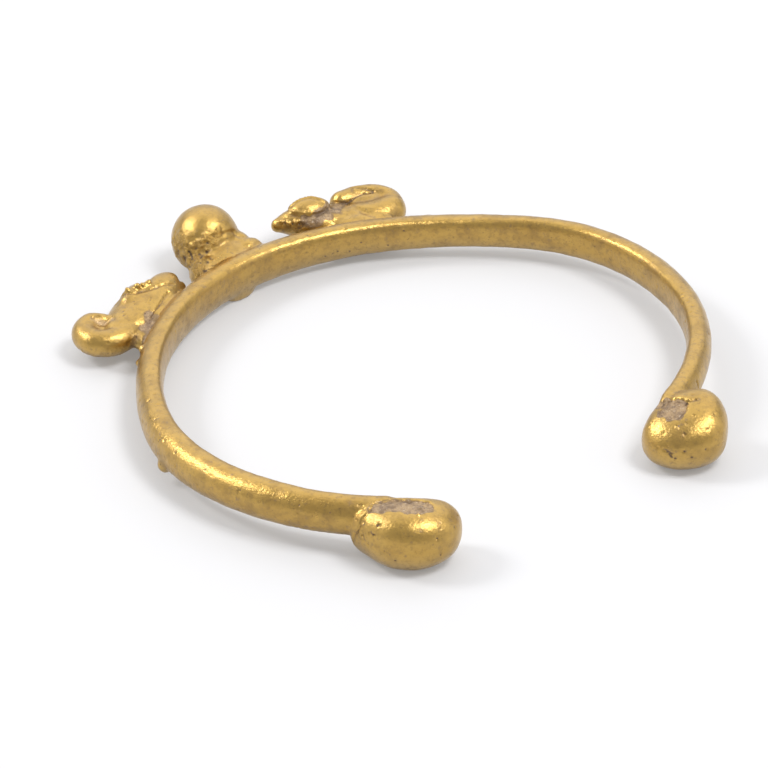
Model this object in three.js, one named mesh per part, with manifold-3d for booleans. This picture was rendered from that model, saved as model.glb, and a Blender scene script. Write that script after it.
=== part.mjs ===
// Cast bracelet: an open ring with rolled ends, a round knob at the front and a curl-tailed animal on each
// side of it. Units are millimetres. Z is up, the knob faces -Y and the gap between the rolled ends faces +Y.
// Places round the ring are given as a turn in degrees from the front (-Y), positive toward +X, and as a
// distance outward from the centreline of the band.
import * as THREE from "three";
import { mergeVertices } from "three/addons/utils/BufferGeometryUtils.js";
import Module from "manifold-3d";

// The plan of the ring: a rounded oval, a little uneven, as bent by hand
const RING_HALF_WIDTH = 33.0;
const RING_HALF_DEPTH = 29.3;
const RING_ROUNDNESS = 2.037;
const RING_THIRD_WAVE = 0.014;
const RING_FOURTH_WAVE = 0.004;
const RING_LEAN = -0.026;
const RING_TWIST = 0.004;

// How far each arm reaches round from the front
const LEFT_ARM_END = -158.5;
const RIGHT_ARM_END = 135.0;

// The band: flat toward the wrist, rounded outside, and a little higher above the table at the back
const BAND_FRONT_LEVEL = 3.1;
const BAND_BACK_LEVEL = 4.86;
const BAND_OUTER_SHARE = 0.6;
const BAND_INNER_FLATNESS = 0.6;
const BAND_EDGE_FULLNESS = 0.9;
const BAND_RINGS = 88;
const BAND_SIDES = 14;
const BAND_STATIONS = [
  { turn: -155, out: 0.17, thick: 2.92, tall: 4.07 },
  { turn: -130, out: 0.03, thick: 2.91, tall: 4.2 },
  { turn: -105, out: -0.1, thick: 3.15, tall: 4.36 },
  { turn: -80, out: 0.21, thick: 3.01, tall: 4.28 },
  { turn: -55, out: -0.8, thick: 3.15, tall: 3.9 },
  { turn: -30, out: -0.45, thick: 3.23, tall: 4.24 },
  { turn: 0, out: -0.05, thick: 3.41, tall: 4.6 },
  { turn: 30, out: -0.08, thick: 3.22, tall: 4.7 },
  { turn: 55, out: -0.15, thick: 3.22, tall: 4.75 },
  { turn: 80, out: 0.2, thick: 3.67, tall: 4.85 },
  { turn: 105, out: -0.16, thick: 3.63, tall: 4.8 },
  { turn: 130, out: 0.25, thick: 3.45, tall: 4.71 },
  { turn: 155, out: 0.3, thick: 3.4, tall: 4.6 },
];
const ARM_END_TAPER = 6;
const ARM_END_SHARE = 0.5;

// The rolled ends, each a low drum with rounded rims, placed by the ring
const ROLL_LENGTH_TURN = 135.4;
const ROLL_RIM_ROUNDNESS = 2.6;
const ROLL_LAYERS = 10;
const ROLL_SIDES = 26;
const RIGHT_ROLL = { turn: 133.12, out: 2.265, tall: 7.2, slopeAlong: 0, slopeAcross: 0 };
const RIGHT_ROLL_OUTLINE = [
  [-6.3, -0.4],
  [-5.5, 0.6],
  [-4.2, 2.1],
  [-2.1, 3.6],
  [0.6, 4.1],
  [3.2, 3.5],
  [5.1, 2.0],
  [6.05, 0.0],
  [6.0, -2.1],
  [4.9, -3.5],
  [1.8, -4.0],
  [-2.0, -4.0],
  [-4.5, -3.6],
  [-5.9, -2.2],
];
const RIGHT_ROLL_HOLLOW = {
  along: -0.5,
  across: -0.7,
  halfLength: 3.7,
  halfWidth: 1.25,
  depth: 0.8,
  turn: 8,
};
const LEFT_ROLL = { turn: -156.56, out: 2.976, tall: 7.1, slopeAlong: 0.15, slopeAcross: -0.22 };
const LEFT_ROLL_OUTLINE = [
  [4.85, 0.2],
  [4.2, 2.5],
  [2.4, 4.1],
  [0.0, 4.65],
  [-2.3, 4.3],
  [-4.2, 3.0],
  [-4.95, 1.1],
  [-4.55, -0.7],
  [-3.6, -2.3],
  [-2.2, -3.7],
  [0.0, -4.5],
  [2.5, -4.55],
  [4.0, -3.3],
  [4.75, -1.4],
];
const LEFT_ROLL_HOLLOW = {
  along: -1.1,
  across: 0.2,
  halfLength: 2.3,
  halfWidth: 1.15,
  depth: 0.8,
  turn: -22,
};

// The knob at the front, with the neck that joins it to the band
const KNOB_TURN = -2.58;
const KNOB_OUT = 7.156;
const KNOB_LEVEL = 4.4;
const KNOB_RADIUS = 4.0;
const KNOB_LOWER_DEPTH = 4.15;
const KNOB_LOWER_FULLNESS = 0.86;
const KNOB_LAYERS = 16;
const KNOB_SIDES = 24;
const NECK_STATIONS = [
  { turn: -2.4, out: 6.2, level: 3.7, wide: 2.9, tall: 2.9 },
  { turn: -2.4, out: 4.2, level: 3.3, wide: 3.1, tall: 2.5 },
  { turn: -2.3, out: 2.2, level: 3.2, wide: 3.6, tall: 2.2 },
  { turn: -2.2, out: 0.9, level: 3.1, wide: 3.9, tall: 1.9 },
];
const NECK_END_REACH = 0.4;
const NECK_LUMPS = [
  { turn: -7.2, out: 2.3, level: 4.1, along: 1.7, across: 1.4, up: 1.35 },
  { turn: -6.2, out: 4.1, level: 4.3, along: 1.7, across: 1.9, up: 1.3 },
  { turn: 3.6, out: 3.0, level: 2.9, along: 2.1, across: 2.0, up: 2.1 },
  { turn: 1.2, out: 5.0, level: 3.0, along: 1.8, across: 2.2, up: 2.1 },
];

// The animal on the left of the knob, seen from the wrist side with its head toward the knob
const LEFT_ANIMAL_BODY = [
  { turn: -17.4, out: 5.6, level: 3.65, wide: 0.85, tall: 0.9 },
  { turn: -19.5, out: 5.5, level: 3.65, wide: 1.45, tall: 1.45 },
  { turn: -22.5, out: 5.1, level: 3.6, wide: 2.1, tall: 1.9 },
  { turn: -26.0, out: 4.7, level: 3.5, wide: 2.4, tall: 1.9 },
  { turn: -29.5, out: 4.4, level: 3.1, wide: 2.3, tall: 1.6 },
  { turn: -34.0, out: 4.5, level: 3.0, wide: 2.2, tall: 1.8 },
  { turn: -38.2, out: 4.9, level: 3.0, wide: 2.1, tall: 1.9 },
  { turn: -40.6, out: 5.7, level: 3.0, wide: 1.9, tall: 1.9 },
];
const LEFT_ANIMAL_TAIL = [
  { turn: -41.3, out: 6.2, level: 3.0, wide: 1.45, tall: 1.8 },
  { turn: -40.6, out: 7.5, level: 3.05, wide: 1.55, tall: 1.8 },
  { turn: -38.2, out: 8.4, level: 3.2, wide: 1.5, tall: 1.8 },
  { turn: -34.8, out: 8.4, level: 3.35, wide: 1.45, tall: 1.7 },
  { turn: -31.7, out: 7.8, level: 3.4, wide: 1.4, tall: 1.6 },
];
const LEFT_ANIMAL_LUMPS = [
  { turn: -24.2, out: 5.5, level: 4.9, along: 2.6, across: 1.7, up: 1.35 },
  { turn: -29.0, out: 6, level: 2.6, along: 3.0, across: 1.6, up: 1.7 },
  { turn: -33.6, out: 2.7, level: 3.1, along: 4.4, across: 1.7, up: 1.5 },
  { turn: -26.2, out: 2.7, level: 2.5, along: 2.2, across: 1.6, up: 1.4 },
  { turn: -36.6, out: 6.6, level: 2.7, along: 2.7, across: 1.5, up: 1.7 },
  { turn: -47.6, out: 1.4, level: 3.9, along: 1.3, across: 0.8, up: 0.9 },
];

// The animal on the right of the knob, whose tail hooks further out
const RIGHT_ANIMAL_BODY = [
  { turn: 11.4, out: 3.3, level: 3.2, wide: 0.7, tall: 0.8 },
  { turn: 13.4, out: 3.5, level: 3.5, wide: 1.5, tall: 1.4 },
  { turn: 16.2, out: 3.9, level: 3.6, wide: 2.2, tall: 1.8 },
  { turn: 20.0, out: 4.2, level: 3.5, wide: 3.0, tall: 1.8 },
  { turn: 23.8, out: 4.6, level: 3.3, wide: 3.4, tall: 1.8 },
  { turn: 27.6, out: 5.0, level: 3.1, wide: 3.1, tall: 1.8 },
  { turn: 31.0, out: 5.5, level: 3.0, wide: 2.1, tall: 1.7 },
];
const RIGHT_ANIMAL_TAIL = [
  { turn: 31.4, out: 4.6, level: 3.0, wide: 1.7, tall: 1.6 },
  { turn: 34.4, out: 5.8, level: 2.95, wide: 1.65, tall: 1.6 },
  { turn: 35.2, out: 7.9, level: 2.95, wide: 1.6, tall: 1.6 },
  { turn: 33.1, out: 9.4, level: 2.95, wide: 1.6, tall: 1.6 },
  { turn: 30.3, out: 9.2, level: 3.0, wide: 1.5, tall: 1.6 },
  { turn: 29.4, out: 7.9, level: 3.1, wide: 1.15, tall: 1.35 },
];
const RIGHT_ANIMAL_LUMPS = [
  { turn: 15.8, out: 4.2, level: 4.5, along: 2.6, across: 1.7, up: 1.2 },
  { turn: 21.6, out: 6.1, level: 4.3, along: 2.6, across: 1.4, up: 1.25 },
  { turn: 32.2, out: 7.8, level: 2.5, along: 1.3, across: 1.3, up: 1.4 },
  { turn: 29.6, out: 2.6, level: 2.6, along: 2.6, across: 1.4, up: 1.3 },
];

// Small grains on the right animal and on the outside of the band beside it
const GRAIN_RADIUS = 0.5;
const GRAIN_SIDES = 8;
const GRAIN_LAYERS = 6;
const GRAINS = [
  { turn: 22.6, out: 7.2, level: 4.3 },
  { turn: 21.1, out: 6.6, level: 4.65 },
  { turn: 19.7, out: 5.8, level: 4.9 },
  { turn: 39.4, out: 1.5, level: 4.5 },
];

// Casting lugs: one under the front, on which the ring stands, and one low on the outside of the right arm
const BAND_LUMPS = [
  { turn: -0.8, out: -0.1, level: 0.8, along: 2.3, across: 1.05, up: 0.95 },
  { turn: 77.5, out: 1.6, level: 2.3, along: 1.0, across: 0.8, up: 0.9 },
  { turn: 41.8, out: 1.35, level: 3.2, along: 0.9, across: 0.5, up: 0.8 },
];

// How much is worn away where the casting touches the table
const TABLE_WEAR = 0.15;

// Facets
const ANIMAL_SIDES = 12;
const BODY_RINGS = 20;
const TAIL_RINGS = 16;
const NECK_RINGS = 8;
const NECK_SIDES = 16;
const CAP_RINGS = 2;
const LUMP_SIDES = 10;
const LUMP_LAYERS = 6;
const HOLLOW_SIDES = 16;
const HOLLOW_LAYERS = 8;
const CUTTER_SIZE = 200;

// Points closer than this are one point, and the step in turn over which the ring's direction is taken
const MERGE_DISTANCE = 1e-4;
const DIRECTION_STEP = 1e-3;

// The colour and polish of worn brass
const BRASS_COLOUR = 0xb98a35;
const BRASS_ROUGHNESS = 0.38;

const wasm = await Module();
wasm.setup();

// How far the band lies out of the even oval, how thick and how tall it is, at a turn in degrees.
const bandCurve = new THREE.CatmullRomCurve3(
  BAND_STATIONS.map(({ out, thick, tall }) => new THREE.Vector3(out, thick, tall)),
  false,
  "catmullrom",
);
function bandSize(degrees) {
  const spans = BAND_STATIONS.length - 1;
  let index = 0;
  while (index < spans - 1 && BAND_STATIONS[index + 1].turn < degrees) index += 1;
  const first = BAND_STATIONS[index].turn;
  const share = (degrees - first) / (BAND_STATIONS[index + 1].turn - first);
  const place = (index + THREE.MathUtils.clamp(share, 0, 1)) / spans;
  const { x: out, y: thick, z: tall } = bandCurve.getPoint(place);
  return { out, thick, tall };
}

// Distance from the middle of the ring to the centreline of the band at a turn in radians.
function ringRadius(turn) {
  const sine = Math.abs(Math.sin(turn) / RING_HALF_WIDTH);
  const cosine = Math.abs(Math.cos(turn) / RING_HALF_DEPTH);
  const oval = (sine ** RING_ROUNDNESS + cosine ** RING_ROUNDNESS) ** (-1 / RING_ROUNDNESS);
  const waves =
    RING_THIRD_WAVE * Math.cos(3 * turn) +
    RING_FOURTH_WAVE * Math.cos(4 * turn) +
    RING_LEAN * Math.sin(turn) +
    RING_TWIST * Math.sin(3 * turn);
  return oval * (1 + waves) + bandSize(THREE.MathUtils.radToDeg(turn)).out;
}

// Point of the centreline in plan, with the direction along it and the direction outward.
function ringFrame(degrees) {
  const turn = THREE.MathUtils.degToRad(degrees);
  const place = (angle) =>
    new THREE.Vector3(Math.sin(angle), -Math.cos(angle), 0).multiplyScalar(ringRadius(angle));
  const along = place(turn + DIRECTION_STEP).sub(place(turn - DIRECTION_STEP)).normalize();
  const outward = new THREE.Vector3(along.y, -along.x, 0);
  return { centre: place(turn), along, outward };
}

// Point beside the band, at a distance outward and a height above the table.
function beside(degrees, out, level) {
  const frame = ringFrame(degrees);
  const point = frame.centre.addScaledVector(frame.outward, out);
  point.z = level;
  return point;
}

// Height of the middle of the band above the table.
function bandLevel(y) {
  const share = THREE.MathUtils.clamp((y + RING_HALF_DEPTH) / (2 * RING_HALF_DEPTH), 0, 1);
  return THREE.MathUtils.lerp(BAND_FRONT_LEVEL, BAND_BACK_LEVEL, share);
}

// Closed body through rings of equally many points, ending in a point at each end, with its faces outward.
function closedLoft(rings, firstPole, lastPole) {
  const sides = rings[0].length;
  const points = [firstPole, ...rings.flat(), lastPole];
  const last = points.length - 1;
  const faces = [];
  for (let side = 0; side < sides; side += 1) {
    const next = (side + 1) % sides;
    faces.push([0, 1 + next, 1 + side]);
    faces.push([last, last - sides + side, last - sides + next]);
    for (let ring = 0; ring < rings.length - 1; ring += 1) {
      const near = 1 + ring * sides;
      const far = near + sides;
      faces.push([near + side, near + next, far + next]);
      faces.push([near + side, far + next, far + side]);
    }
  }
  const volume = faces.reduce((sum, [a, b, c]) => {
    const cross = new THREE.Vector3().crossVectors(points[b], points[c]);
    return sum + points[a].dot(cross);
  }, 0);
  const order = volume < 0 ? faces.map(([a, b, c]) => [a, c, b]) : faces;
  const geometry = new THREE.BufferGeometry().setFromPoints(points);
  geometry.setIndex(order.flat());
  return geometry;
}

// The same shape as a solid that can be joined and cut.
function solid(geometry) {
  const bare = geometry.clone();
  bare.deleteAttribute("normal");
  bare.deleteAttribute("uv");
  const merged = mergeVertices(bare, MERGE_DISTANCE);
  return new wasm.Manifold(
    new wasm.Mesh({
      numProp: 3,
      vertProperties: new Float32Array(merged.attributes.position.array),
      triVerts: new Uint32Array(merged.index.array),
    }),
  );
}

// The band with its D-shaped section, from one rolled end to the other.
function makeBand() {
  const rings = [];
  for (let index = 0; index < BAND_RINGS; index += 1) {
    const turn = THREE.MathUtils.lerp(LEFT_ARM_END, RIGHT_ARM_END, index / (BAND_RINGS - 1));
    const { centre, outward } = ringFrame(turn);
    const size = bandSize(turn);
    const toEnd = Math.min(turn - LEFT_ARM_END, RIGHT_ARM_END - turn) / ARM_END_TAPER;
    const keep = THREE.MathUtils.lerp(ARM_END_SHARE, 1, THREE.MathUtils.smoothstep(toEnd, 0, 1));
    const thick = size.thick * keep;
    const halfTall = (size.tall * keep) / 2;
    const level = bandLevel(centre.y);
    const ring = [];
    for (let side = 0; side < BAND_SIDES; side += 1) {
      const angle = (2 * Math.PI * side) / BAND_SIDES;
      const cosine = Math.cos(angle);
      const sine = Math.sin(angle);
      const inner = -(1 - BAND_OUTER_SHARE) * Math.abs(cosine) ** BAND_INNER_FLATNESS;
      const out = thick * (cosine > 0 ? BAND_OUTER_SHARE * cosine : inner);
      const up = halfTall * Math.sign(sine) * Math.abs(sine) ** BAND_EDGE_FULLNESS;
      const point = centre.clone().addScaledVector(outward, out);
      point.z = level + up;
      ring.push(point);
    }
    rings.push(ring);
  }
  const middle = (ring) =>
    ring.reduce((sum, point) => sum.add(point), new THREE.Vector3()).divideScalar(ring.length);
  return closedLoft(rings, middle(rings[0]), middle(rings[BAND_RINGS - 1]));
}

// Plan axes of the rolled ends: along the roll and across it, outward.
function rollAxes() {
  const angle = THREE.MathUtils.degToRad(ROLL_LENGTH_TURN);
  const along = new THREE.Vector3(Math.cos(angle), Math.sin(angle), 0);
  const across = new THREE.Vector3(Math.sin(angle), -Math.cos(angle), 0);
  return { along, across };
}

// Height of a roll at a place on its plan, where its top may slope.
function rollHeight({ tall, slopeAlong, slopeAcross }, u, v) {
  return tall + slopeAlong * u + slopeAcross * v;
}

// A low drum over a plan outline, with rounded rims.
function makeRoll(roll, outline) {
  const { along, across } = rollAxes();
  const centre = beside(roll.turn, roll.out, 0);
  const place = (u, v, share) => {
    const point = centre.clone().addScaledVector(along, u).addScaledVector(across, v);
    point.z = share * rollHeight(roll, u, v);
    return point;
  };
  const rings = [];
  for (let layer = 1; layer < ROLL_LAYERS; layer += 1) {
    const angle = -Math.PI / 2 + (Math.PI * layer) / ROLL_LAYERS;
    const reach = Math.cos(angle) ** (2 / ROLL_RIM_ROUNDNESS);
    const rise = Math.sign(Math.sin(angle)) * Math.abs(Math.sin(angle)) ** (2 / ROLL_RIM_ROUNDNESS);
    rings.push(outline.map(([u, v]) => place(u * reach, v * reach, (1 + rise) / 2)));
  }
  return closedLoft(rings, place(0, 0, 0), place(0, 0, 1));
}

// Points evenly placed round a smooth closed outline.
function smoothOutline(corners, count) {
  const curve = new THREE.CatmullRomCurve3(
    corners.map(([u, v]) => new THREE.Vector3(u, v, 0)),
    true,
  );
  const places = curve.getSpacedPoints(count).slice(0, count);
  return places.map((point) => [point.x, point.y]);
}

// The sunk middle of a roll, seen from above.
function rollHollow(roll, { along, across, halfLength, halfWidth, depth, turn }) {
  const axes = rollAxes();
  const centre = beside(roll.turn, roll.out, rollHeight(roll, along, across));
  centre.addScaledVector(axes.along, along).addScaledVector(axes.across, across);
  const bowl = new THREE.SphereGeometry(1, HOLLOW_SIDES, HOLLOW_LAYERS);
  bowl.rotateX(Math.PI / 2);
  bowl.scale(halfLength, halfWidth, depth);
  bowl.rotateZ(THREE.MathUtils.degToRad(ROLL_LENGTH_TURN + turn));
  bowl.translate(centre.x, centre.y, centre.z);
  return solid(bowl);
}

// A rounded lump beside the band, its length along the ring.
function makeLump({ turn, out, level, along, across, up }) {
  const lump = new THREE.SphereGeometry(1, LUMP_SIDES, LUMP_LAYERS);
  lump.rotateX(Math.PI / 2);
  lump.scale(along, across, up);
  const { along: heading } = ringFrame(turn);
  lump.rotateZ(Math.atan2(heading.y, heading.x));
  const place = beside(turn, out, level);
  lump.translate(place.x, place.y, place.z);
  return lump;
}

// A limb of oval section that follows its stations and ends round at both ends.
function makeLimb(stations, ringCount, sides, endReach = 1) {
  const places = stations.map(({ turn, out, level }) => beside(turn, out, level));
  const widths = stations.map(({ wide, tall }) => new THREE.Vector3(wide, tall, 0));
  const path = new THREE.CatmullRomCurve3(places, false, "centripetal");
  const sizes = new THREE.CatmullRomCurve3(widths);
  const ringAt = (share, shift, scale) => {
    const heading = path.getTangent(share);
    heading.z = 0;
    heading.normalize();
    const sideways = new THREE.Vector3(heading.y, -heading.x, 0);
    const centre = path.getPoint(share).addScaledVector(heading, shift);
    const size = sizes.getPoint(share).multiplyScalar(scale);
    return Array.from({ length: sides }, (_, index) => {
      const angle = (2 * Math.PI * index) / sides;
      const point = centre.clone().addScaledVector(sideways, size.x * Math.cos(angle));
      point.z += size.y * Math.sin(angle);
      return point;
    });
  };
  const pole = (share, way) => {
    const heading = path.getTangent(share);
    heading.z = 0;
    heading.normalize();
    return path.getPoint(share).addScaledVector(heading, way * endReach * sizes.getPoint(share).x);
  };
  const rings = [];
  for (let index = CAP_RINGS; index >= 1; index -= 1) {
    const angle = (Math.PI / 2) * (index / (CAP_RINGS + 1));
    rings.push(ringAt(0, -endReach * sizes.getPoint(0).x * Math.sin(angle), Math.cos(angle)));
  }
  for (let index = 0; index < ringCount; index += 1) rings.push(ringAt(index / (ringCount - 1), 0, 1));
  for (let index = 1; index <= CAP_RINGS; index += 1) {
    const angle = (Math.PI / 2) * (index / (CAP_RINGS + 1));
    rings.push(ringAt(1, endReach * sizes.getPoint(1).x * Math.sin(angle), Math.cos(angle)));
  }
  return closedLoft(rings, pole(0, -1), pole(1, 1));
}

// The knob, turned about its upright axis and a little fuller below.
function makeKnob() {
  const profile = [];
  for (let index = 0; index <= KNOB_LAYERS; index += 1) {
    const angle = -Math.PI / 2 + (Math.PI * index) / KNOB_LAYERS;
    const low = angle < 0;
    const fullness = low ? KNOB_LOWER_FULLNESS : 1;
    const onAxis = index === 0 || index === KNOB_LAYERS;
    const reach = onAxis ? 0 : KNOB_RADIUS * Math.cos(angle) ** fullness;
    const rise = (low ? KNOB_LOWER_DEPTH : KNOB_RADIUS) * Math.sin(angle);
    profile.push(new THREE.Vector2(reach, rise));
  }
  const knob = new THREE.LatheGeometry(profile, KNOB_SIDES);
  knob.rotateX(Math.PI / 2);
  const place = beside(KNOB_TURN, KNOB_OUT, KNOB_LEVEL);
  knob.translate(place.x, place.y, place.z);
  return knob;
}

// A small round grain.
function makeGrain({ turn, out, level }) {
  const grain = new THREE.SphereGeometry(GRAIN_RADIUS, GRAIN_SIDES, GRAIN_LAYERS);
  const place = beside(turn, out, level);
  grain.translate(place.x, place.y, place.z);
  return grain;
}

// All of it, joined into one casting
const pieces = [
  makeBand(),
  makeRoll(RIGHT_ROLL, smoothOutline(RIGHT_ROLL_OUTLINE, ROLL_SIDES)),
  makeRoll(LEFT_ROLL, smoothOutline(LEFT_ROLL_OUTLINE, ROLL_SIDES)),
  makeKnob(),
  makeLimb(NECK_STATIONS, NECK_RINGS, NECK_SIDES, NECK_END_REACH),
  makeLimb(LEFT_ANIMAL_BODY, BODY_RINGS, ANIMAL_SIDES),
  makeLimb(LEFT_ANIMAL_TAIL, TAIL_RINGS, ANIMAL_SIDES),
  makeLimb(RIGHT_ANIMAL_BODY, BODY_RINGS, ANIMAL_SIDES),
  makeLimb(RIGHT_ANIMAL_TAIL, TAIL_RINGS, ANIMAL_SIDES),
  ...[...NECK_LUMPS, ...LEFT_ANIMAL_LUMPS, ...RIGHT_ANIMAL_LUMPS, ...BAND_LUMPS].map(makeLump),
  ...GRAINS.map(makeGrain),
];
let casting = pieces.map(solid).reduce((joined, piece) => joined.add(piece));
casting = casting.subtract(rollHollow(RIGHT_ROLL, RIGHT_ROLL_HOLLOW));
casting = casting.subtract(rollHollow(LEFT_ROLL, LEFT_ROLL_HOLLOW));

// Worn flat where it touches the table
const table = new THREE.BoxGeometry(CUTTER_SIZE, CUTTER_SIZE, CUTTER_SIZE);
table.translate(0, 0, TABLE_WEAR - CUTTER_SIZE / 2);
casting = casting.subtract(solid(table));

const mesh = casting.getMesh();
const geometry = new THREE.BufferGeometry();
const positions = new Float32Array(mesh.numVert * 3);
for (let index = 0; index < mesh.numVert; index += 1) {
  const start = index * mesh.numProp;
  positions.set(mesh.vertProperties.subarray(start, start + 3), index * 3);
}
geometry.setAttribute("position", new THREE.BufferAttribute(positions, 3));
geometry.setIndex(new THREE.BufferAttribute(new Uint32Array(mesh.triVerts), 1));

// The casting stands on the table, centred over the middle of its own outline
geometry.computeBoundingBox();
const box = geometry.boundingBox;
const middle = box.getCenter(new THREE.Vector3());
geometry.translate(-middle.x, -middle.y, -box.min.z);
geometry.computeVertexNormals();

const brass = new THREE.MeshStandardMaterial({
  color: BRASS_COLOUR,
  roughness: BRASS_ROUGHNESS,
  metalness: 1,
});
const bracelet = new THREE.Mesh(geometry, brass);
bracelet.name = "bracelet";

const group = new THREE.Group();
group.name = "amulet_bracelet";
group.add(bracelet);

export default group;
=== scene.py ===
"""Cast brass bracelet with rolled ends, a round knob and two curl-tailed animals, on a pale studio floor."""
import logging
import math
from dataclasses import dataclass, field
from enum import Enum

import bpy
import numpy as np
from mathutils import Matrix, Vector


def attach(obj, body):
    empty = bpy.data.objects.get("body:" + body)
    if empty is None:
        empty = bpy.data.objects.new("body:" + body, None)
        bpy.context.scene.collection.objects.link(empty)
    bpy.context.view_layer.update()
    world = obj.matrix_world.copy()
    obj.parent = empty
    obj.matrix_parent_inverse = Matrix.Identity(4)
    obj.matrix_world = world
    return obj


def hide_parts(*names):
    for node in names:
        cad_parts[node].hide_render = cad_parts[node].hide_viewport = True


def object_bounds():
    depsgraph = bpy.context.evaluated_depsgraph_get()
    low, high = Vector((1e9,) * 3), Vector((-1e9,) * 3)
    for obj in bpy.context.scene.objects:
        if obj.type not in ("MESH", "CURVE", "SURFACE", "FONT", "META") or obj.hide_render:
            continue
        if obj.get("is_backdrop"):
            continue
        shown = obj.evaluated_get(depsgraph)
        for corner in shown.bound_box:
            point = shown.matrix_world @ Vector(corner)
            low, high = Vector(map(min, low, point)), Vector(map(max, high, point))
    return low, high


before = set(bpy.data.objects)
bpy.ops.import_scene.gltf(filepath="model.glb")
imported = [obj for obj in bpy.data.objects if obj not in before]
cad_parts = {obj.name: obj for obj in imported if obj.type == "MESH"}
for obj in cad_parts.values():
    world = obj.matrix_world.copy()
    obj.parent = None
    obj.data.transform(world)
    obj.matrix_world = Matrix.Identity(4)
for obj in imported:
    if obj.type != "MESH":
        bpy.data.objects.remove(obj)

BOX_OF_THE_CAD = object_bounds()
NODE = "bracelet"
BODY = "root"
MM = 0.001
SEED = 7
WAVES = 24
SHORTEST_SPAN = 1e-4
NOISE_ROUGHNESS = 0.6
COLOUR_INPUTS = (6, 7)
COLOUR_OUTPUT = 2
PRESSED_SHARE_OF_A_PIT = 0.75

log = logging.getLogger("bracelet")

Place = tuple[float, float, float]
Colour = tuple[float, float, float]
Span = tuple[float, float]
Mesh = bpy.types.Mesh
Object = bpy.types.Object
Material = bpy.types.Material
Socket = bpy.types.NodeSocket


@dataclass(frozen=True)
class Station:
    """A ring of a limb: its place beside the band, and its half width and half height, in millimetres."""

    turn: float
    out: float
    level: float
    wide: float
    tall: float


@dataclass(frozen=True)
class BandStation:
    """A section of the band: how far it lies out of the even oval, how thick and how tall it is."""

    turn: float
    out: float
    thick: float
    tall: float


@dataclass(frozen=True)
class Lump:
    """A rounded lump beside the band, with its half sizes along the ring, across it and upward."""

    turn: float
    out: float
    level: float
    along: float
    across: float
    up: float


class Touch(Enum):
    """How a mark changes the surface colour."""

    CLEAN = 0
    # DARK paints shade into grooves, slits, cracks and pits, and dark dirt onto rough patches.
    DARK = 1
    EARTH = 2
    PALE = 3


@dataclass(frozen=True)
class Mark:
    """A stroke of the wax tool, a pit, a patch of dirt or a line of painted shade, along places set onto the
    surface.

    A place is the turn round the ring in degrees, the distance outward and the level in millimetres.
    """

    places: tuple[Place, ...]
    width: float
    height: float = 0.0
    touch: Touch = Touch.CLEAN
    amount: float = 0.0
    rough: float = 0.0
    flat: float = 0.0
    closed: bool = False
    filled: bool = False
    ragged: float = 0.0


def wobble(points: np.ndarray, size: float) -> np.ndarray:
    """Return smooth uneven values round nought, about one high.

    Args:
        points: Where the values are wanted, one point a row.
        size: Length of a wave in the unit of the points.

    Returns:
        One value a point.
    """
    chance = np.random.default_rng(SEED)
    ways = chance.normal(size=(WAVES, 3))
    ways *= (2 * math.pi / size) / np.linalg.norm(ways, axis=1)[:, None]
    starts = chance.uniform(0, 2 * math.pi, WAVES)
    return np.sin(points @ ways.T + starts).sum(1) / math.sqrt(WAVES / 2)


def inside_loop(spots: np.ndarray, loop: np.ndarray) -> np.ndarray:
    """Return which points lie inside a loop, both seen from above.

    Args:
        spots: Points, one a row.
        loop: Corners of the loop, the last the same as the first.

    Returns:
        True for each point inside.
    """
    inside = np.zeros(len(spots), bool)
    for a, b in zip(loop[:-1], loop[1:]):
        if a[1] == b[1]:
            continue
        crosses = (a[1] > spots[:, 1]) != (b[1] > spots[:, 1])
        where = a[0] + (spots[:, 1] - a[1]) * (b[0] - a[0]) / (b[1] - a[1])
        inside ^= crosses & (spots[:, 0] < where)
    return inside


def soft_step(share: np.ndarray) -> np.ndarray:
    """Return the smooth step of a share, clamped between nought and one."""
    kept = np.clip(share, 0.0, 1.0)
    return kept * kept * (3.0 - 2.0 * kept)


def curve_point(points: np.ndarray, share: float, closed: bool = False, power: float = 0.5) -> np.ndarray:
    """Return a point of a smooth curve through the given points.

    Args:
        points: The points that the curve goes through, one a row.
        share: Where along the curve, from nought to one, counted by spans.
        closed: Whether the curve comes back to its first point.
        power: Nought spaces the knots evenly, a half spaces them by the root of the distance.

    Returns:
        The point at that share.
    """
    count = len(points)
    spans = count if closed else count - 1
    along = min(max(share, 0.0), 1.0) * spans
    index = min(int(along), spans - 1)
    rest = along - index
    if closed:
        a, b, c, d = (points[(index + step) % count] for step in (-1, 0, 1, 2))
    else:
        b, c = points[index], points[index + 1]
        a = points[index - 1] if index > 0 else 2 * b - c
        d = points[index + 2] if index + 2 < count else 2 * c - b
    gaps = ((a, b), (b, c), (c, d))
    first, middle, last = (max(float(np.linalg.norm(q - p)), SHORTEST_SPAN) ** power for p, q in gaps)
    start = ((b - a) / first - (c - a) / (first + middle) + (c - b) / middle) * middle
    finish = ((c - b) / middle - (d - b) / (middle + last) + (d - c) / last) * middle
    square, cube = rest * rest, rest * rest * rest
    bend, turn = 3 * (c - b) - 2 * start - finish, 2 * (b - c) + start + finish
    return b + start * rest + bend * square + turn * cube


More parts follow.
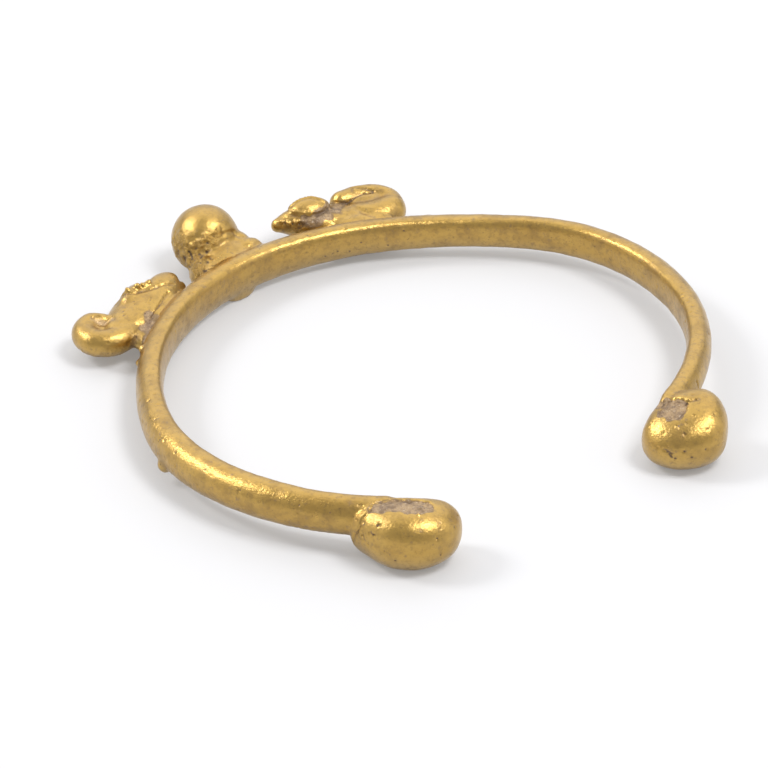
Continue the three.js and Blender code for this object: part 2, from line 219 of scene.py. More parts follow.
@dataclass
class Shape:
    """Points in millimetres and the faces between them."""

    points: np.ndarray
    faces: list[tuple[int, ...]]

    @classmethod
    def loft(cls, rings: np.ndarray, first: np.ndarray, last: np.ndarray) -> "Shape":
        """Close rings of equally many points with a pole at each end.

        Args:
            rings: Array of rings, points and coordinates.
            first: The pole before the first ring.
            last: The pole after the last ring.

        Returns:
            The closed shape with its faces outward.
        """
        count, sides, _ = rings.shape
        points = np.vstack([first[None], rings.reshape(-1, 3), last[None]])
        end = len(points) - 1
        faces: list[tuple[int, ...]] = []
        for side in range(sides):
            after = (side + 1) % sides
            faces.append((0, 1 + after, 1 + side))
            faces.append((end, end - sides + side, end - sides + after))
            for ring in range(count - 1):
                near = 1 + ring * sides
                far = near + sides
                faces.append((near + side, near + after, far + after, far + side))
        return cls(points, faces).facing_out()

    def volume(self) -> float:
        """Return the signed volume, positive where the faces look outward."""
        total = 0.0
        for face in self.faces:
            for index in range(1, len(face) - 1):
                a, b, c = (self.points[face[k]] for k in (0, index, index + 1))
                total += float(np.dot(a, np.cross(b, c)))
        return total / 6.0

    def facing_out(self) -> "Shape":
        """Return the shape with its faces outward."""
        return self if self.volume() > 0 else Shape(self.points, [face[::-1] for face in self.faces])

    def to_mesh(self, name: str) -> Mesh:
        """Return a mesh with these points and faces.

        Args:
            name: Name of the mesh.

        Returns:
            The new mesh.
        """
        mesh = bpy.data.meshes.new(name)
        mesh.from_pydata(self.points.tolist(), [], self.faces)
        mesh.update()
        return mesh

    @classmethod
    def from_mesh(cls, mesh: Mesh) -> "Shape":
        """Return the points and faces of a mesh."""
        return cls(mesh_points(mesh), [tuple(polygon.vertices) for polygon in mesh.polygons])

    @classmethod
    def joined(cls, shapes: list["Shape"]) -> "Shape":
        """Return several shapes as one, each still closed on its own.

        Args:
            shapes: The shapes to gather.

        Returns:
            One shape with all their faces.
        """
        faces: list[tuple[int, ...]] = []
        start = 0
        for shape in shapes:
            faces += [tuple(index + start for index in face) for face in shape.faces]
            start += len(shape.points)
        return cls(np.vstack([shape.points for shape in shapes]), faces)


def readings(items: bpy.types.bpy_prop_collection, name: str, width: int, kind: type) -> np.ndarray:
    """Return a property of all the points or edges of a mesh.

    Args:
        items: The points or the edges.
        name: Name of the property.
        width: How many numbers it has.
        kind: Kind of number that Blender keeps.

    Returns:
        The numbers, one point or edge a row.
    """
    values = np.empty(len(items) * width, kind)
    items.foreach_get(name, values)
    return values.reshape(-1, width)


def mesh_points(mesh: Mesh) -> np.ndarray:
    """Return the points of a mesh, one a row."""
    return readings(mesh.vertices, "co", 3, np.float32).astype(float)


def mesh_normals(mesh: Mesh) -> np.ndarray:
    """Return the normals at the points of a mesh, one a row."""
    return readings(mesh.vertices, "normal", 3, np.float32).astype(float)


def mesh_edges(mesh: Mesh) -> np.ndarray:
    """Return the two ends of each edge of a mesh, one edge a row."""
    return readings(mesh.edges, "vertices", 2, np.int32)


def triangle_count(mesh: Mesh) -> int:
    """Return how many triangles the faces of a mesh make."""
    return sum(len(polygon.vertices) - 2 for polygon in mesh.polygons)


def set_points(mesh: Mesh, points: np.ndarray) -> None:
    """Move the points of a mesh to new places, one a row."""
    mesh.vertices.foreach_set("co", points.astype(np.float32).ravel())
    mesh.update()


def store(mesh: Mesh, name: str, values: np.ndarray) -> None:
    """Store a number or a vector for each point of a mesh.

    Args:
        mesh: The mesh to write on.
        name: Name of the attribute.
        values: A number for each point, or a row of three.
    """
    kind, slot = ("FLOAT_VECTOR", "vector") if values.ndim == 2 else ("FLOAT", "value")
    item = mesh.attributes.get(name) or mesh.attributes.new(name, kind, "POINT")
    item.data.foreach_set(slot, values.astype(np.float32).ravel())


def neighbour_mean(values: np.ndarray, edges: np.ndarray) -> np.ndarray:
    """Return for each point the mean of a value over its neighbours.

    Args:
        values: One row of values for each point.
        edges: The two ends of each edge.

    Returns:
        The means, shaped as the values.
    """
    count = len(values)
    a, b = edges[:, 0], edges[:, 1]
    number = np.bincount(a, minlength=count) + np.bincount(b, minlength=count)
    columns = []
    for column in range(values.shape[1]):
        total = np.bincount(a, values[b, column], count) + np.bincount(b, values[a, column], count)
        columns.append(total / np.maximum(number, 1))
    return np.stack(columns, -1)


def plain_mesh(piece: Object) -> Mesh:
    """Apply the modifiers of a piece and take them off.

    Args:
        piece: The object to flatten.

    Returns:
        Its finished mesh.
    """
    bpy.context.view_layer.update()
    evaluated = piece.evaluated_get(bpy.context.evaluated_depsgraph_get())
    mesh = bpy.data.meshes.new_from_object(evaluated)
    piece.modifiers.clear()
    piece.data = mesh
    return mesh


def new_piece(name: str, mesh: Mesh) -> Object:
    """Return a new object with that mesh, linked to the scene.

    Args:
        name: Name of the object.
        mesh: Its mesh.

    Returns:
        The object, at the origin.
    """
    piece = bpy.data.objects.new(name, mesh)
    bpy.context.scene.collection.objects.link(piece)
    return piece


class Tree:
    """A node tree with short ways to add and join nodes."""

    def __init__(self, tree: bpy.types.NodeTree) -> None:
        """Keep the tree that the nodes go into."""
        self.tree = tree

    @classmethod
    def geometry(cls, name: str) -> "Tree":
        """Return a new geometry tree with a geometry input and output.

        Args:
            name: Name of the tree.

        Returns:
            The tree with its two ends as start and finish.
        """
        kit = cls(bpy.data.node_groups.new(name, "GeometryNodeTree"))
        kit.tree.interface.new_socket(name="Geometry", in_out="INPUT", socket_type="NodeSocketGeometry")
        kit.tree.interface.new_socket(name="Geometry", in_out="OUTPUT", socket_type="NodeSocketGeometry")
        kit.start = kit.tree.nodes.new("NodeGroupInput")
        kit.finish = kit.tree.nodes.new("NodeGroupOutput")
        return kit

    def input(self, name: str, kind: str, value: object = None) -> Socket:
        """Add a named input to a geometry tree.

        Args:
            name: Name of the input.
            kind: Kind of socket, such as Float or Int.
            value: Its usual value.

        Returns:
            The socket inside the tree.
        """
        socket = self.tree.interface.new_socket(name=name, in_out="INPUT", socket_type=f"NodeSocket{kind}")
        if value is not None:
            socket.default_value = value
        return self.start.outputs[name]

    def put(
        self, kind: str, inputs: dict[str | int, object] | None = None, **settings: object
    ) -> bpy.types.Node:
        """Add a node, set its settings and fill or join its inputs.

        Args:
            kind: Type name of the node.
            inputs: Values or sockets by input name or number.
            **settings: Properties of the node.

        Returns:
            The new node.
        """
        node = self.tree.nodes.new(kind)
        for key, value in settings.items():
            setattr(node, key, value)
        for key, value in (inputs or {}).items():
            if isinstance(value, Socket):
                self.tree.links.new(value, node.inputs[key])
            else:
                node.inputs[key].default_value = value
        return node

    def calc(self, operation: str, *values: object) -> Socket:
        """Return the result of a math operation, such as POWER, on numbers or sockets."""
        return self.put("ShaderNodeMath", dict(enumerate(values)), operation=operation).outputs[0]

    def plus(self, first: object, second: object) -> Socket:
        """Return the sum of two numbers or sockets."""
        return self.calc("ADD", first, second)

    def minus(self, first: object, second: object) -> Socket:
        """Return the first number or socket less the second."""
        return self.calc("SUBTRACT", first, second)

    def times(self, first: object, *others: object) -> Socket:
        """Return the product of numbers or sockets, multiplied from the left.

        Args:
            first: A number or socket.
            *others: The numbers or sockets that it is multiplied by.

        Returns:
            The product's socket.
        """
        product = first
        for other in others:
            product = self.calc("MULTIPLY", product, other)
        return product

    def noise(self, scale: object, detail: float, **inputs: object) -> Socket:
        """Return noise with that many waves in a unit of length and that fineness."""
        values = {"Scale": scale, "Detail": detail, "Roughness": NOISE_ROUGHNESS, **inputs}
        return self.put("ShaderNodeTexNoise", values).outputs[0]

    def vector(self, operation: str, *values: object) -> Socket:
        """Return the result of a vector operation, such as ADD, on vectors or sockets."""
        return self.put("ShaderNodeVectorMath", dict(enumerate(values)), operation=operation).outputs[0]

    def scaled(self, vector: Socket, scale: object) -> Socket:
        """Return a vector scaled by a number or socket."""
        return self.put("ShaderNodeVectorMath", {0: vector, "Scale": scale}, operation="SCALE").outputs[0]

    def attribute(self, name: str, kind: str = "FLOAT") -> Socket:
        """Return a named attribute of that data type in a geometry tree."""
        node = self.put("GeometryNodeInputNamedAttribute", {"Name": name}, data_type=kind)
        return next(socket for socket in node.outputs if socket.enabled and socket.name == "Attribute")

    def end(self, geometry: Socket, metal: Socket) -> None:
        """End the tree in real geometry with its material.

        Args:
            geometry: What the tree made.
            metal: The material to put on it.
        """
        real = self.put("GeometryNodeRealizeInstances", {"Geometry": geometry})
        dressed = self.put("GeometryNodeSetMaterial", {"Geometry": real.outputs[0], "Material": metal})
        self.tree.links.new(dressed.outputs[0], self.finish.inputs[0])

    def run(self, piece: Object, values: dict[str, object]) -> Mesh:
        """Run the tree on a piece.

        Args:
            piece: The object to change.
            values: Values of the tree's inputs by name.

        Returns:
            The plain mesh that came out.
        """
        modifier = piece.modifiers.new(self.tree.name, "NODES")
        modifier.node_group = self.tree
        items = self.tree.interface.items_tree
        names = {item.name: item.identifier for item in items if item.in_out == "INPUT"}
        for name, value in values.items():
            modifier[names[name]] = value
        return plain_mesh(piece)


@dataclass
class Ring:
    """The plan of the ring, a rounded oval a little uneven, as bent by hand. Sizes in millimetres."""

    half_width: float = 33.0
    half_depth: float = 29.3
    roundness: float = 2.037
    third_wave: float = 0.014
    fourth_wave: float = 0.004
    lean: float = -0.026
    twist: float = 0.004
    front_level: float = 3.1
    back_level: float = 4.86
    middle_x: float = -0.850
    middle_y: float = -2.787
    table_wear: float = 0.15
    step: float = 0.05
    flow_steps: int = 721
    stations: tuple[BandStation, ...] = tuple(
        BandStation(*row)
        for row in (
            (-155, 0.17, 2.92, 4.07), (-130, 0.03, 2.91, 4.2), (-105, -0.1, 3.15, 4.36),
            (-80, 0.21, 3.01, 4.28), (-55, -0.8, 3.15, 3.9), (-30, -0.45, 3.23, 4.24), (0, -0.05, 3.41, 4.6),
            (30, -0.08, 3.22, 4.7), (55, -0.15, 3.22, 4.75), (80, 0.2, 3.67, 4.85), (105, -0.16, 3.63, 4.8),
            (130, 0.25, 3.45, 4.71), (155, 0.3, 3.4, 4.6),
        )
    )

    def size(self, degrees: float) -> np.ndarray:
        """Return how far out, how thick and how tall the band is at a turn in degrees."""
        turns = [station.turn for station in self.stations]
        spans = len(turns) - 1
        index = int(np.clip(np.searchsorted(turns, degrees) - 1, 0, spans - 1))
        share = (degrees - turns[index]) / (turns[index + 1] - turns[index])
        rows = np.array([(station.out, station.thick, station.tall) for station in self.stations], float)
        return curve_point(rows, (index + min(max(share, 0.0), 1.0)) / spans, power=0.0)

    def radius(self, degrees: float) -> float:
        """Return the distance from the middle to the centreline at a turn in degrees."""
        turn = math.radians(degrees)
        power = self.roundness
        sine, cosine = math.sin(turn), math.cos(turn)
        oval = (abs(sine / self.half_width) ** power + abs(cosine / self.half_depth) ** power) ** (-1 / power)
        waves = self.third_wave * math.cos(3 * turn) + self.fourth_wave * math.cos(4 * turn)
        waves += self.lean * sine + self.twist * math.sin(3 * turn)
        return oval * (1 + waves) + float(self.size(degrees)[0])

    def centre(self, degrees: float) -> np.ndarray:
        """Return the point of the centreline in plan at a turn in degrees."""
        turn = math.radians(degrees)
        return np.array([math.sin(turn), -math.cos(turn), 0.0]) * self.radius(degrees)

    def heading(self, degrees: float) -> np.ndarray:
        """Return the direction along the band at a turn in degrees."""
        along = self.centre(degrees + self.step) - self.centre(degrees - self.step)
        return along / np.linalg.norm(along)

    def outward(self, degrees: float) -> np.ndarray:
        """Return the direction outward from the band at a turn in degrees."""
        along = self.heading(degrees)
        return np.array([along[1], -along[0], 0.0])

    def beside(self, degrees: float, out: float, level: float) -> np.ndarray:
        """Return a point beside the band.

        Args:
            degrees: Turn round the ring.
            out: Distance outward from the centreline.
            level: Height above the table.

        Returns:
            The point.
        """
        point = self.centre(degrees) + self.outward(degrees) * out
        point[2] = level
        return point

    def level(self, y: float) -> float:
        """Return the height of the middle of the band above the table."""
        share = min(max((y + self.half_depth) / (2 * self.half_depth), 0.0), 1.0)
        return self.front_level + (self.back_level - self.front_level) * share

    def flow(self, points: np.ndarray) -> np.ndarray:
        """Return where points lie along the band, outward from it and above the table.

        Args:
            points: Points in the ring's own place.

        Returns:
            Length along, distance outward and height, one row a point.
        """
        turns = np.degrees(np.arctan2(points[:, 0], -points[:, 1]))
        table = np.linspace(-180, 180, self.flow_steps)
        radii = np.array([self.radius(float(turn)) for turn in table])
        radius = np.interp(turns, table, radii)
        out = np.hypot(points[:, 0], points[:, 1]) - radius
        return np.stack([np.radians(turns) * self.half_width, out, points[:, 2]], -1)


@dataclass
class Band:
    """The open band, flat toward the wrist and rounded outside, swept along the ring."""

    ring: Ring
    left_end: float = -158.5
    right_end: float = 135.0
    end_taper: float = 6.0
    end_share: float = 0.5
    rings: int = 420
    sides: int = 44
    outer_share: float = 0.6
    inner_flatness: float = 0.6
    edge_fullness: float = 0.9

    def sweep(self) -> Tree:
        """Build the tree that sweeps a D-shaped section along a line of points.

        Returns:
            The tree, with the section's sizes as named inputs.
        """
        kit = Tree.geometry("Band sweep")
        sides = kit.input("Section sides", "Int", self.sides)
        outer = kit.input("Outer share", "Float", self.outer_share)
        flatness = kit.input("Inner flatness", "Float", self.inner_flatness)
        fullness = kit.input("Edge fullness", "Float", self.edge_fullness)
        metal = kit.input("Metal", "Material")
        line = kit.put("GeometryNodeMeshToCurve", {"Mesh": kit.start.outputs["Geometry"]})
        circle = kit.put("GeometryNodeCurvePrimitiveCircle", {"Resolution": sides, "Radius": 1.0})
        here = kit.put("GeometryNodeInputPosition").outputs[0]
        section = kit.put(
            "GeometryNodeStoreNamedAttribute",
            {"Geometry": circle.outputs[0], "Name": "section", "Value": here},
            data_type="FLOAT_VECTOR",
            domain="POINT",
        )
        swept = kit.put(
            "GeometryNodeCurveToMesh",
            {"Curve": line.outputs[0], "Profile Curve": section.outputs[0], "Fill Caps": True},
        )
        place = kit.put("ShaderNodeSeparateXYZ", {0: kit.attribute("section", "FLOAT_VECTOR")})
        cosine, sine = place.outputs[0], place.outputs[1]
        outside = kit.calc("GREATER_THAN", cosine, 0.0)
        inner = kit.calc("POWER", kit.calc("ABSOLUTE", cosine), flatness)
        inner = kit.times(inner, kit.minus(outer, 1.0), kit.minus(1.0, outside))
        across = kit.times(kit.plus(kit.times(cosine, outer, outside), inner), kit.attribute("thick"))
        rise = kit.calc("POWER", kit.calc("ABSOLUTE", sine), fullness)
        rise = kit.times(rise, kit.calc("SIGN", sine), kit.attribute("half_tall"))
        upward = kit.put("ShaderNodeCombineXYZ", {2: rise}).outputs[0]
        sideways = kit.scaled(kit.attribute("outward", "FLOAT_VECTOR"), across)
        point = kit.vector("ADD", kit.attribute("centre", "FLOAT_VECTOR"), kit.vector("ADD", sideways, upward))
        placed = kit.put("GeometryNodeSetPosition", {"Geometry": swept.outputs[0], "Position": point})
        kit.end(placed.outputs[0], metal)
        return kit

    def build(self, metal: Material) -> Shape:
        """Build the band.

        Args:
            metal: The material that the sweep puts on it.

        Returns:
            The band's shape.
        """
        turns = np.linspace(self.left_end, self.right_end, self.rings)
        centres = np.array([self.ring.centre(float(turn)) for turn in turns])
        centres[:, 2] = [self.ring.level(float(point[1])) for point in centres]
        sizes = np.array([self.ring.size(float(turn)) for turn in turns])
        to_end = np.minimum(turns - self.left_end, self.right_end - turns) / self.end_taper
        keep = self.end_share + (1 - self.end_share) * soft_step(to_end)
        mesh = bpy.data.meshes.new("band_line")
        mesh.from_pydata(centres.tolist(), [(index, index + 1) for index in range(self.rings - 1)], [])
        outward = np.array([self.ring.outward(float(turn)) for turn in turns])
        columns = {
            "centre": centres,
            "outward": outward,
            "thick": sizes[:, 1] * keep,
            "half_tall": sizes[:, 2] * keep / 2,
        }
        for name, values in columns.items():
            store(mesh, name, values)
        piece = new_piece("band_line", mesh)
        shape = Shape.from_mesh(self.sweep().run(piece, {"Section sides": self.sides, "Metal": metal}))
        bpy.data.objects.remove(piece)
        return shape.facing_out()


@dataclass
class Roll:
    """A rolled end: a low drum over a plan outline, with rounded rims and a top that may slope.

    The outline and the slopes are given along the roll's length and across it, in millimetres.
    """

    ring: Ring
    turn: float
    out: float
    tall: float
    outline: tuple[tuple[float, float], ...]
    slope_along: float = 0.0
    slope_across: float = 0.0
    length_turn: float = 135.4
    rim_roundness: float = 2.6
    layers: int = 44
    sides: int = 110

    def build(self) -> Shape:
        """Build the roll.

        Returns:
            The roll's shape.
        """
        angle = math.radians(self.length_turn)
        along = np.array([math.cos(angle), math.sin(angle), 0.0])
        across = np.array([math.sin(angle), -math.cos(angle), 0.0])
        centre = self.ring.beside(self.turn, self.out, 0.0)
        corners = np.array([(u, v, 0.0) for u, v in self.outline])
        plan = np.array([curve_point(corners, side / self.sides, closed=True) for side in range(self.sides)])
        flat = plan[:, :1] * along + plan[:, 1:2] * across
        rings = []
        for layer in range(1, self.layers):
            lean = -math.pi / 2 + math.pi * layer / self.layers
            reach = math.cos(lean) ** (2 / self.rim_roundness)
            rise = math.copysign(abs(math.sin(lean)) ** (2 / self.rim_roundness), math.sin(lean))
            ring = centre + flat * reach
            height = self.tall + reach * (plan[:, 0] * self.slope_along + plan[:, 1] * self.slope_across)
            ring[:, 2] = height / 2 * (1 + rise)
            rings.append(ring)
        top = centre + np.array([0.0, 0.0, self.tall])
        return Shape.loft(np.array(rings), centre, top)


@dataclass
class Limb:
    """A limb of oval section that follows its stations and ends round."""

    ring: Ring
    stations: tuple[Station, ...]
    rings: int = 48
    sides: int = 32
    caps: int = 7
    end_reach: float = 1.0
    step: float = 0.002

    def build(self) -> Shape:
        """Build the limb.

        Returns:
            The limb's shape.
        """
        path = np.array([self.ring.beside(item.turn, item.out, item.level) for item in self.stations])
        sizes = np.array([(item.wide, item.tall, 0.0) for item in self.stations])
        angles = 2 * np.pi * np.arange(self.sides) / self.sides

        def heading(share: float) -> np.ndarray:
            """Return the direction of the path in plan at a share of its length."""
            ahead, behind = min(share + self.step, 1.0), max(share - self.step, 0.0)
            way = curve_point(path, ahead) - curve_point(path, behind)
            way[2] = 0.0
            return way / np.linalg.norm(way)

        def ring_at(share: float, shift: float, scale: float) -> np.ndarray:
            """Return one ring of the limb, shifted along and scaled."""
            way = heading(share)
            sideways = np.array([way[1], -way[0], 0.0])
            size = curve_point(sizes, share) * scale
            centre = curve_point(path, share) + way * shift
            ring = centre + np.cos(angles)[:, None] * size[0] * sideways
            ring[:, 2] += np.sin(angles) * size[1]
            return ring

        starts = [(np.pi / 2) * index / (self.caps + 1) for index in range(self.caps, 0, -1)]
        reach = [self.end_reach * curve_point(sizes, share)[0] for share in (0.0, 1.0)]
        rings = [ring_at(0.0, -reach[0] * math.sin(lean), math.cos(lean)) for lean in starts]
        rings += [ring_at(index / (self.rings - 1), 0.0, 1.0) for index in range(self.rings)]
        rings += [ring_at(1.0, reach[1] * math.sin(lean), math.cos(lean)) for lean in starts[::-1]]
        first = curve_point(path, 0.0) - heading(0.0) * reach[0]
        last = curve_point(path, 1.0) + heading(1.0) * reach[1]
        return Shape.loft(np.array(rings), first, last)


@dataclass
class Bead:
    """A rounded lump, grain or knob of three half sizes, fuller or deeper below."""

    ring: Ring
    lump: Lump
    sides: int = 36
    layers: int = 24
    lower_depth: float | None = None
    lower_fullness: float = 1.0

    def build(self) -> Shape:
        """Build the bead.

        Returns:
            The bead's shape.
        """
        lump = self.lump
        along = self.ring.heading(lump.turn)
        outward = self.ring.outward(lump.turn)
        centre = self.ring.beside(lump.turn, lump.out, lump.level)
        below = lump.up if self.lower_depth is None else self.lower_depth
        angles = 2 * np.pi * np.arange(self.sides) / self.sides
        rings = []
        for layer in range(1, self.layers):
            lean = -math.pi / 2 + math.pi * layer / self.layers
            reach = math.cos(lean) ** (self.lower_fullness if lean < 0 else 1.0)
            ring = centre + reach * (
                np.cos(angles)[:, None] * along * lump.along + np.sin(angles)[:, None] * outward * lump.across
            )
            ring[:, 2] += math.sin(lean) * (below if lean < 0 else lump.up)
            rings.append(ring)
        bottom, top = centre - np.array([0, 0, below]), centre + np.array([0, 0, lump.up])
        return Shape.loft(np.array(rings), bottom, top)


@dataclass
class Grains:
    """Small round grains of cast metal, one at each place."""

    ring: Ring
    places: tuple[Place, ...] = ((22.3, 6.6, 5.0), (21.0, 6.0, 5.35), (18.9, 5.3, 5.3), (39.6, 1.75, 4.5))
    radius: float = 0.5

    def build(self, metal: Material) -> Shape:
        """Build the grains, each an instance of one small ball.

        Args:
            metal: The material that the tree puts on them.

        Returns:
            All the grains as one shape.
        """
        kit = Tree.geometry("Grains")
        radius = kit.input("Grain radius", "Float", self.radius)
        metal_in = kit.input("Metal", "Material")
        ball = kit.put("GeometryNodeMeshIcoSphere", {"Radius": radius, "Subdivisions": 3})
        spots = kit.put(
            "GeometryNodeInstanceOnPoints",
            {"Points": kit.start.outputs["Geometry"], "Instance": ball.outputs[0]},
        )
        kit.end(spots.outputs[0], metal_in)
        mesh = bpy.data.meshes.new("grain_places")
        mesh.from_pydata([self.ring.beside(*place).tolist() for place in self.places], [], [])
        piece = new_piece("grain_places", mesh)
        shape = Shape.from_mesh(kit.run(piece, {"Grain radius": self.radius, "Metal": metal}))
        bpy.data.objects.remove(piece)
        return shape


@dataclass
class Skin:
    """The cast surface: a soft swell from the wax, fine grain where it is rough, and gas pits."""

    swell: float = 0.07
    swell_size: float = 2.6
    grain: float = 0.16
    grain_size: float = 0.6
    fine: float = 0.013
    fine_size: float = 0.6
    pit_density: float = 0.22
    pit_radius: float = 0.2
    pit_depth: float = 0.13
    pit_softness: float = 0.3
    even_pits: float = 0.35
    rough_pits: float = 6.0

    def tree(self) -> Tree:
        """Build the tree that moves the surface in and out.

        Returns:
            The tree, with sizes in millimetres as named inputs.
        """
        kit = Tree.geometry("Cast skin")
        size = {
            name: kit.input(name, "Float", value)
            for name, value in {
                "Swell": self.swell,
                "Swell size": self.swell_size,
                "Grain": self.grain,
                "Grain size": self.grain_size,
                "Fine": self.fine,
                "Fine size": self.fine_size,
                "Pit density": self.pit_density,
                "Pit radius": self.pit_radius,
                "Pit depth": self.pit_depth,
            }.items()
        }
        seed = kit.input("Seed", "Int", SEED)
        metal = kit.input("Metal", "Material")
        surface = kit.start.outputs["Geometry"]
        rough = kit.attribute("rough")

        def noise(name: str, detail: float) -> Socket:
            """Return noise round nought, times its named height."""
            even = kit.noise(kit.calc("DIVIDE", 1.0, size[f"{name} size"]), detail)
            return kit.times(kit.minus(even, 0.5), 2.0, size[name])

        relief = kit.plus(noise("Swell", detail=1.0), noise("Fine", detail=3.0))
        relief = kit.plus(relief, kit.times(noise("Grain", detail=4.0), rough))
        density = kit.times(size["Pit density"], kit.plus(self.even_pits, kit.times(rough, self.rough_pits)))
        spots = kit.put(
            "GeometryNodeDistributePointsOnFaces",
            {"Mesh": surface, "Density": density, "Seed": seed},
            distribute_method="RANDOM",
        )
        near = kit.put("GeometryNodeProximity", {"Geometry": spots.outputs[0]}, target_element="POINTS")
        depth = kit.minus(1.0, kit.calc("DIVIDE", near.outputs["Distance"], size["Pit radius"]))
        depth = kit.calc("SMOOTH_MAX", depth, 0.0, self.pit_softness)
        dents = kit.times(depth, size["Pit depth"], -1.0)
        offset = kit.scaled(kit.put("GeometryNodeInputNormal").outputs[0], kit.plus(relief, dents))
        moved = kit.put("GeometryNodeSetPosition", {"Geometry": surface, "Offset": offset})
        kit.end(moved.outputs[0], metal)
        return kit


def pits(radius: float, depth: float, *places: Place) -> tuple[Mark, ...]:
    """Return one pit of that radius and depth at each place, with shade painted into it."""
    pressed = -PRESSED_SHARE_OF_A_PIT * depth
    return tuple(Mark((place,), radius, pressed, Touch.DARK, amount=1.1, flat=0.3) for place in places)


def bumps(radius: float, height: float, *places: Place) -> tuple[Mark, ...]:
    """Return one bump of that radius and height at each place."""
    return tuple(Mark((place,), radius, height) for place in places)


def limb_stations(*rows: tuple[float, ...]) -> tuple[Station, ...]:
    """Return the stations of a limb: the turn, out and level, and the half width and height."""
    return tuple(Station(*row) for row in rows)


def lump_set(*rows: tuple[float, ...]) -> tuple[Lump, ...]:
    """Return lumps: the turn, out and level, and the half sizes along, across and upward."""
    return tuple(Lump(*row) for row in rows)


RIGHT_ANIMAL_MARKS = (
    Mark(((31.2, 8.8, 4.4), (31.2, 8.2, 4.1), (30.8, 7.7, 3.9), (30.4, 7.1, 3.95), (30.0, 6.7, 4.3)),
         0.75, -0.12, Touch.PALE, 0.6, rough=0.3, flat=0.1, ragged=0.12),
    Mark(((31.0, 8.9, 4.46), (30.2, 8.7, 4.48), (30.0, 8.2, 4.42)), 0.2, -0.14, Touch.DARK, 0.45),
    Mark(((22.9, 6.9, 4.66), (22.8, 5.9, 5.0), (21.2, 5.2, 5.17), (20.0, 4.4, 5.26), (18.8, 4.0, 5.35),
          (17.2, 3.3, 5.35), (15.0, 2.7, 4.88)), 0.27, -0.17, Touch.DARK, 0.3, ragged=0.12),
    Mark(((26.8, 2.5, 4.2), (29.5, 2.4, 4.2), (31.5, 2.0, 4.1), (33.5, 2.1, 3.6)),
         1.1, -0.1, Touch.EARTH, 0.85, rough=0.5, flat=0.15, ragged=0.15),
    Mark(((18.6, 2.3, 5.1), (21.0, 2.35, 4.9), (24.0, 2.35, 4.6), (27.0, 2.35, 4.4)),
         0.24, -0.18, Touch.DARK, 0.5, ragged=0.08),
    Mark(((33.0, 3.2, 3.4), (34.5, 3.6, 2.6)), 0.9, 0.0, Touch.DARK, 0.45, rough=0.8, flat=0.1, ragged=0.2),
    Mark(((36.0, 5.0, 2.2), (37.0, 7.0, 2.2), (36.0, 8.8, 2.0)),
         1.2, 0.0, Touch.DARK, 0.3, rough=0.9, flat=0.1, ragged=0.2),
    Mark(((24.5, 7.2, 4.2), (23.5, 6.6, 4.6)), 0.6, -0.1, Touch.DARK, 0.2, rough=0.5, ragged=0.15),
    *bumps(0.5, 0.42, (22.3, 6.5, 5.05), (21.0, 5.95, 5.4), (19.7, 5.5, 5.4), (18.6, 5.2, 5.3)),
    *pits(0.17, 0.16, (22.8, 3.6, 5.04), (22.2, 3.65, 5.09), (27.8, 5.7, 4.78), (29.0, 5.3, 4.8),
          (24.5, 5.3, 4.96), (25.2, 4.9, 5.0), (26.8, 3.2, 4.68), (32.8, 3.3, 3.5)),
)
LEFT_ANIMAL_MARKS = (
    Mark(((-20.5, 6.0, 5.06), (-21.2, 6.27, 5.62), (-23.0, 6.4, 6.0), (-24.8, 6.25, 6.08), (-26.5, 5.5, 6.04),
          (-27.2, 4.8, 5.61), (-26.0, 4.24, 5.41), (-24.2, 4.03, 5.35), (-22.2, 4.23, 5.42),
          (-21.0, 4.7, 5.43)),
         0.22, 0.14, closed=True),
    Mark(((-21.4, 5.9, 5.5), (-23.0, 6.0, 5.9), (-24.8, 5.85, 6.0), (-26.2, 5.2, 5.9)),
         0.19, -0.1, Touch.DARK, 0.3),
    Mark(((-19.8, 5.0, 4.9), (-21.5, 3.95, 4.95), (-23.5, 3.65, 5.0), (-26.0, 3.85, 5.1), (-27.7, 4.4, 5.2)),
         0.26, -0.17, Touch.DARK, 0.35, ragged=0.1),
    Mark(((-22.0, 3.4, 4.7), (-25.0, 3.3, 4.9), (-27.5, 4.2, 5.1), (-29.5, 5.0, 4.6), (-31.0, 6.0, 4.2)),
         1.35, -0.05, Touch.EARTH, 0.85, rough=0.5, flat=0.1, ragged=0.15),
    Mark(((-30.5, 7.9, 3.5), (-32.0, 6.7, 4.0), (-34.0, 7.0, 4.1), (-35.8, 7.3, 4.2), (-37.2, 7.45, 4.3)),
         0.2, -0.22, Touch.DARK, 0.42, ragged=0.12),
    Mark(((-37.2, 7.45, 4.3), (-37.8, 7.6, 4.5), (-37.0, 7.9, 4.7), (-35.8, 8.2, 4.8), (-34.2, 8.5, 4.7),
          (-33.8, 7.9, 4.7)), 0.22, -0.18, Touch.DARK, 0.45, ragged=0.1),
    Mark(((-33.5, 4.2, 4.7), (-35.2, 3.1, 4.5), (-36.8, 2.4, 4.4), (-38.8, 2.6, 4.1)),
         0.7, -0.16, Touch.DARK, 0.12),
    Mark(((-17.8, 4.7, 3.6), (-19.5, 3.9, 3.9), (-21.5, 3.4, 4.2)),
         0.9, 0.0, Touch.DARK, 0.3, rough=0.8, flat=0.1, ragged=0.2),
    *bumps(0.45, 0.3, (-17.8, 5.0, 4.4), (-18.9, 4.45, 4.3), (-20.2, 4.0, 4.55), (-21.4, 3.75, 4.7)),
    *pits(0.2, 0.14, (-18.3, 4.7, 4.3), (-19.5, 4.2, 4.3), (-20.8, 3.8, 4.4), (-20.6, 3.6, 3.9)),
)
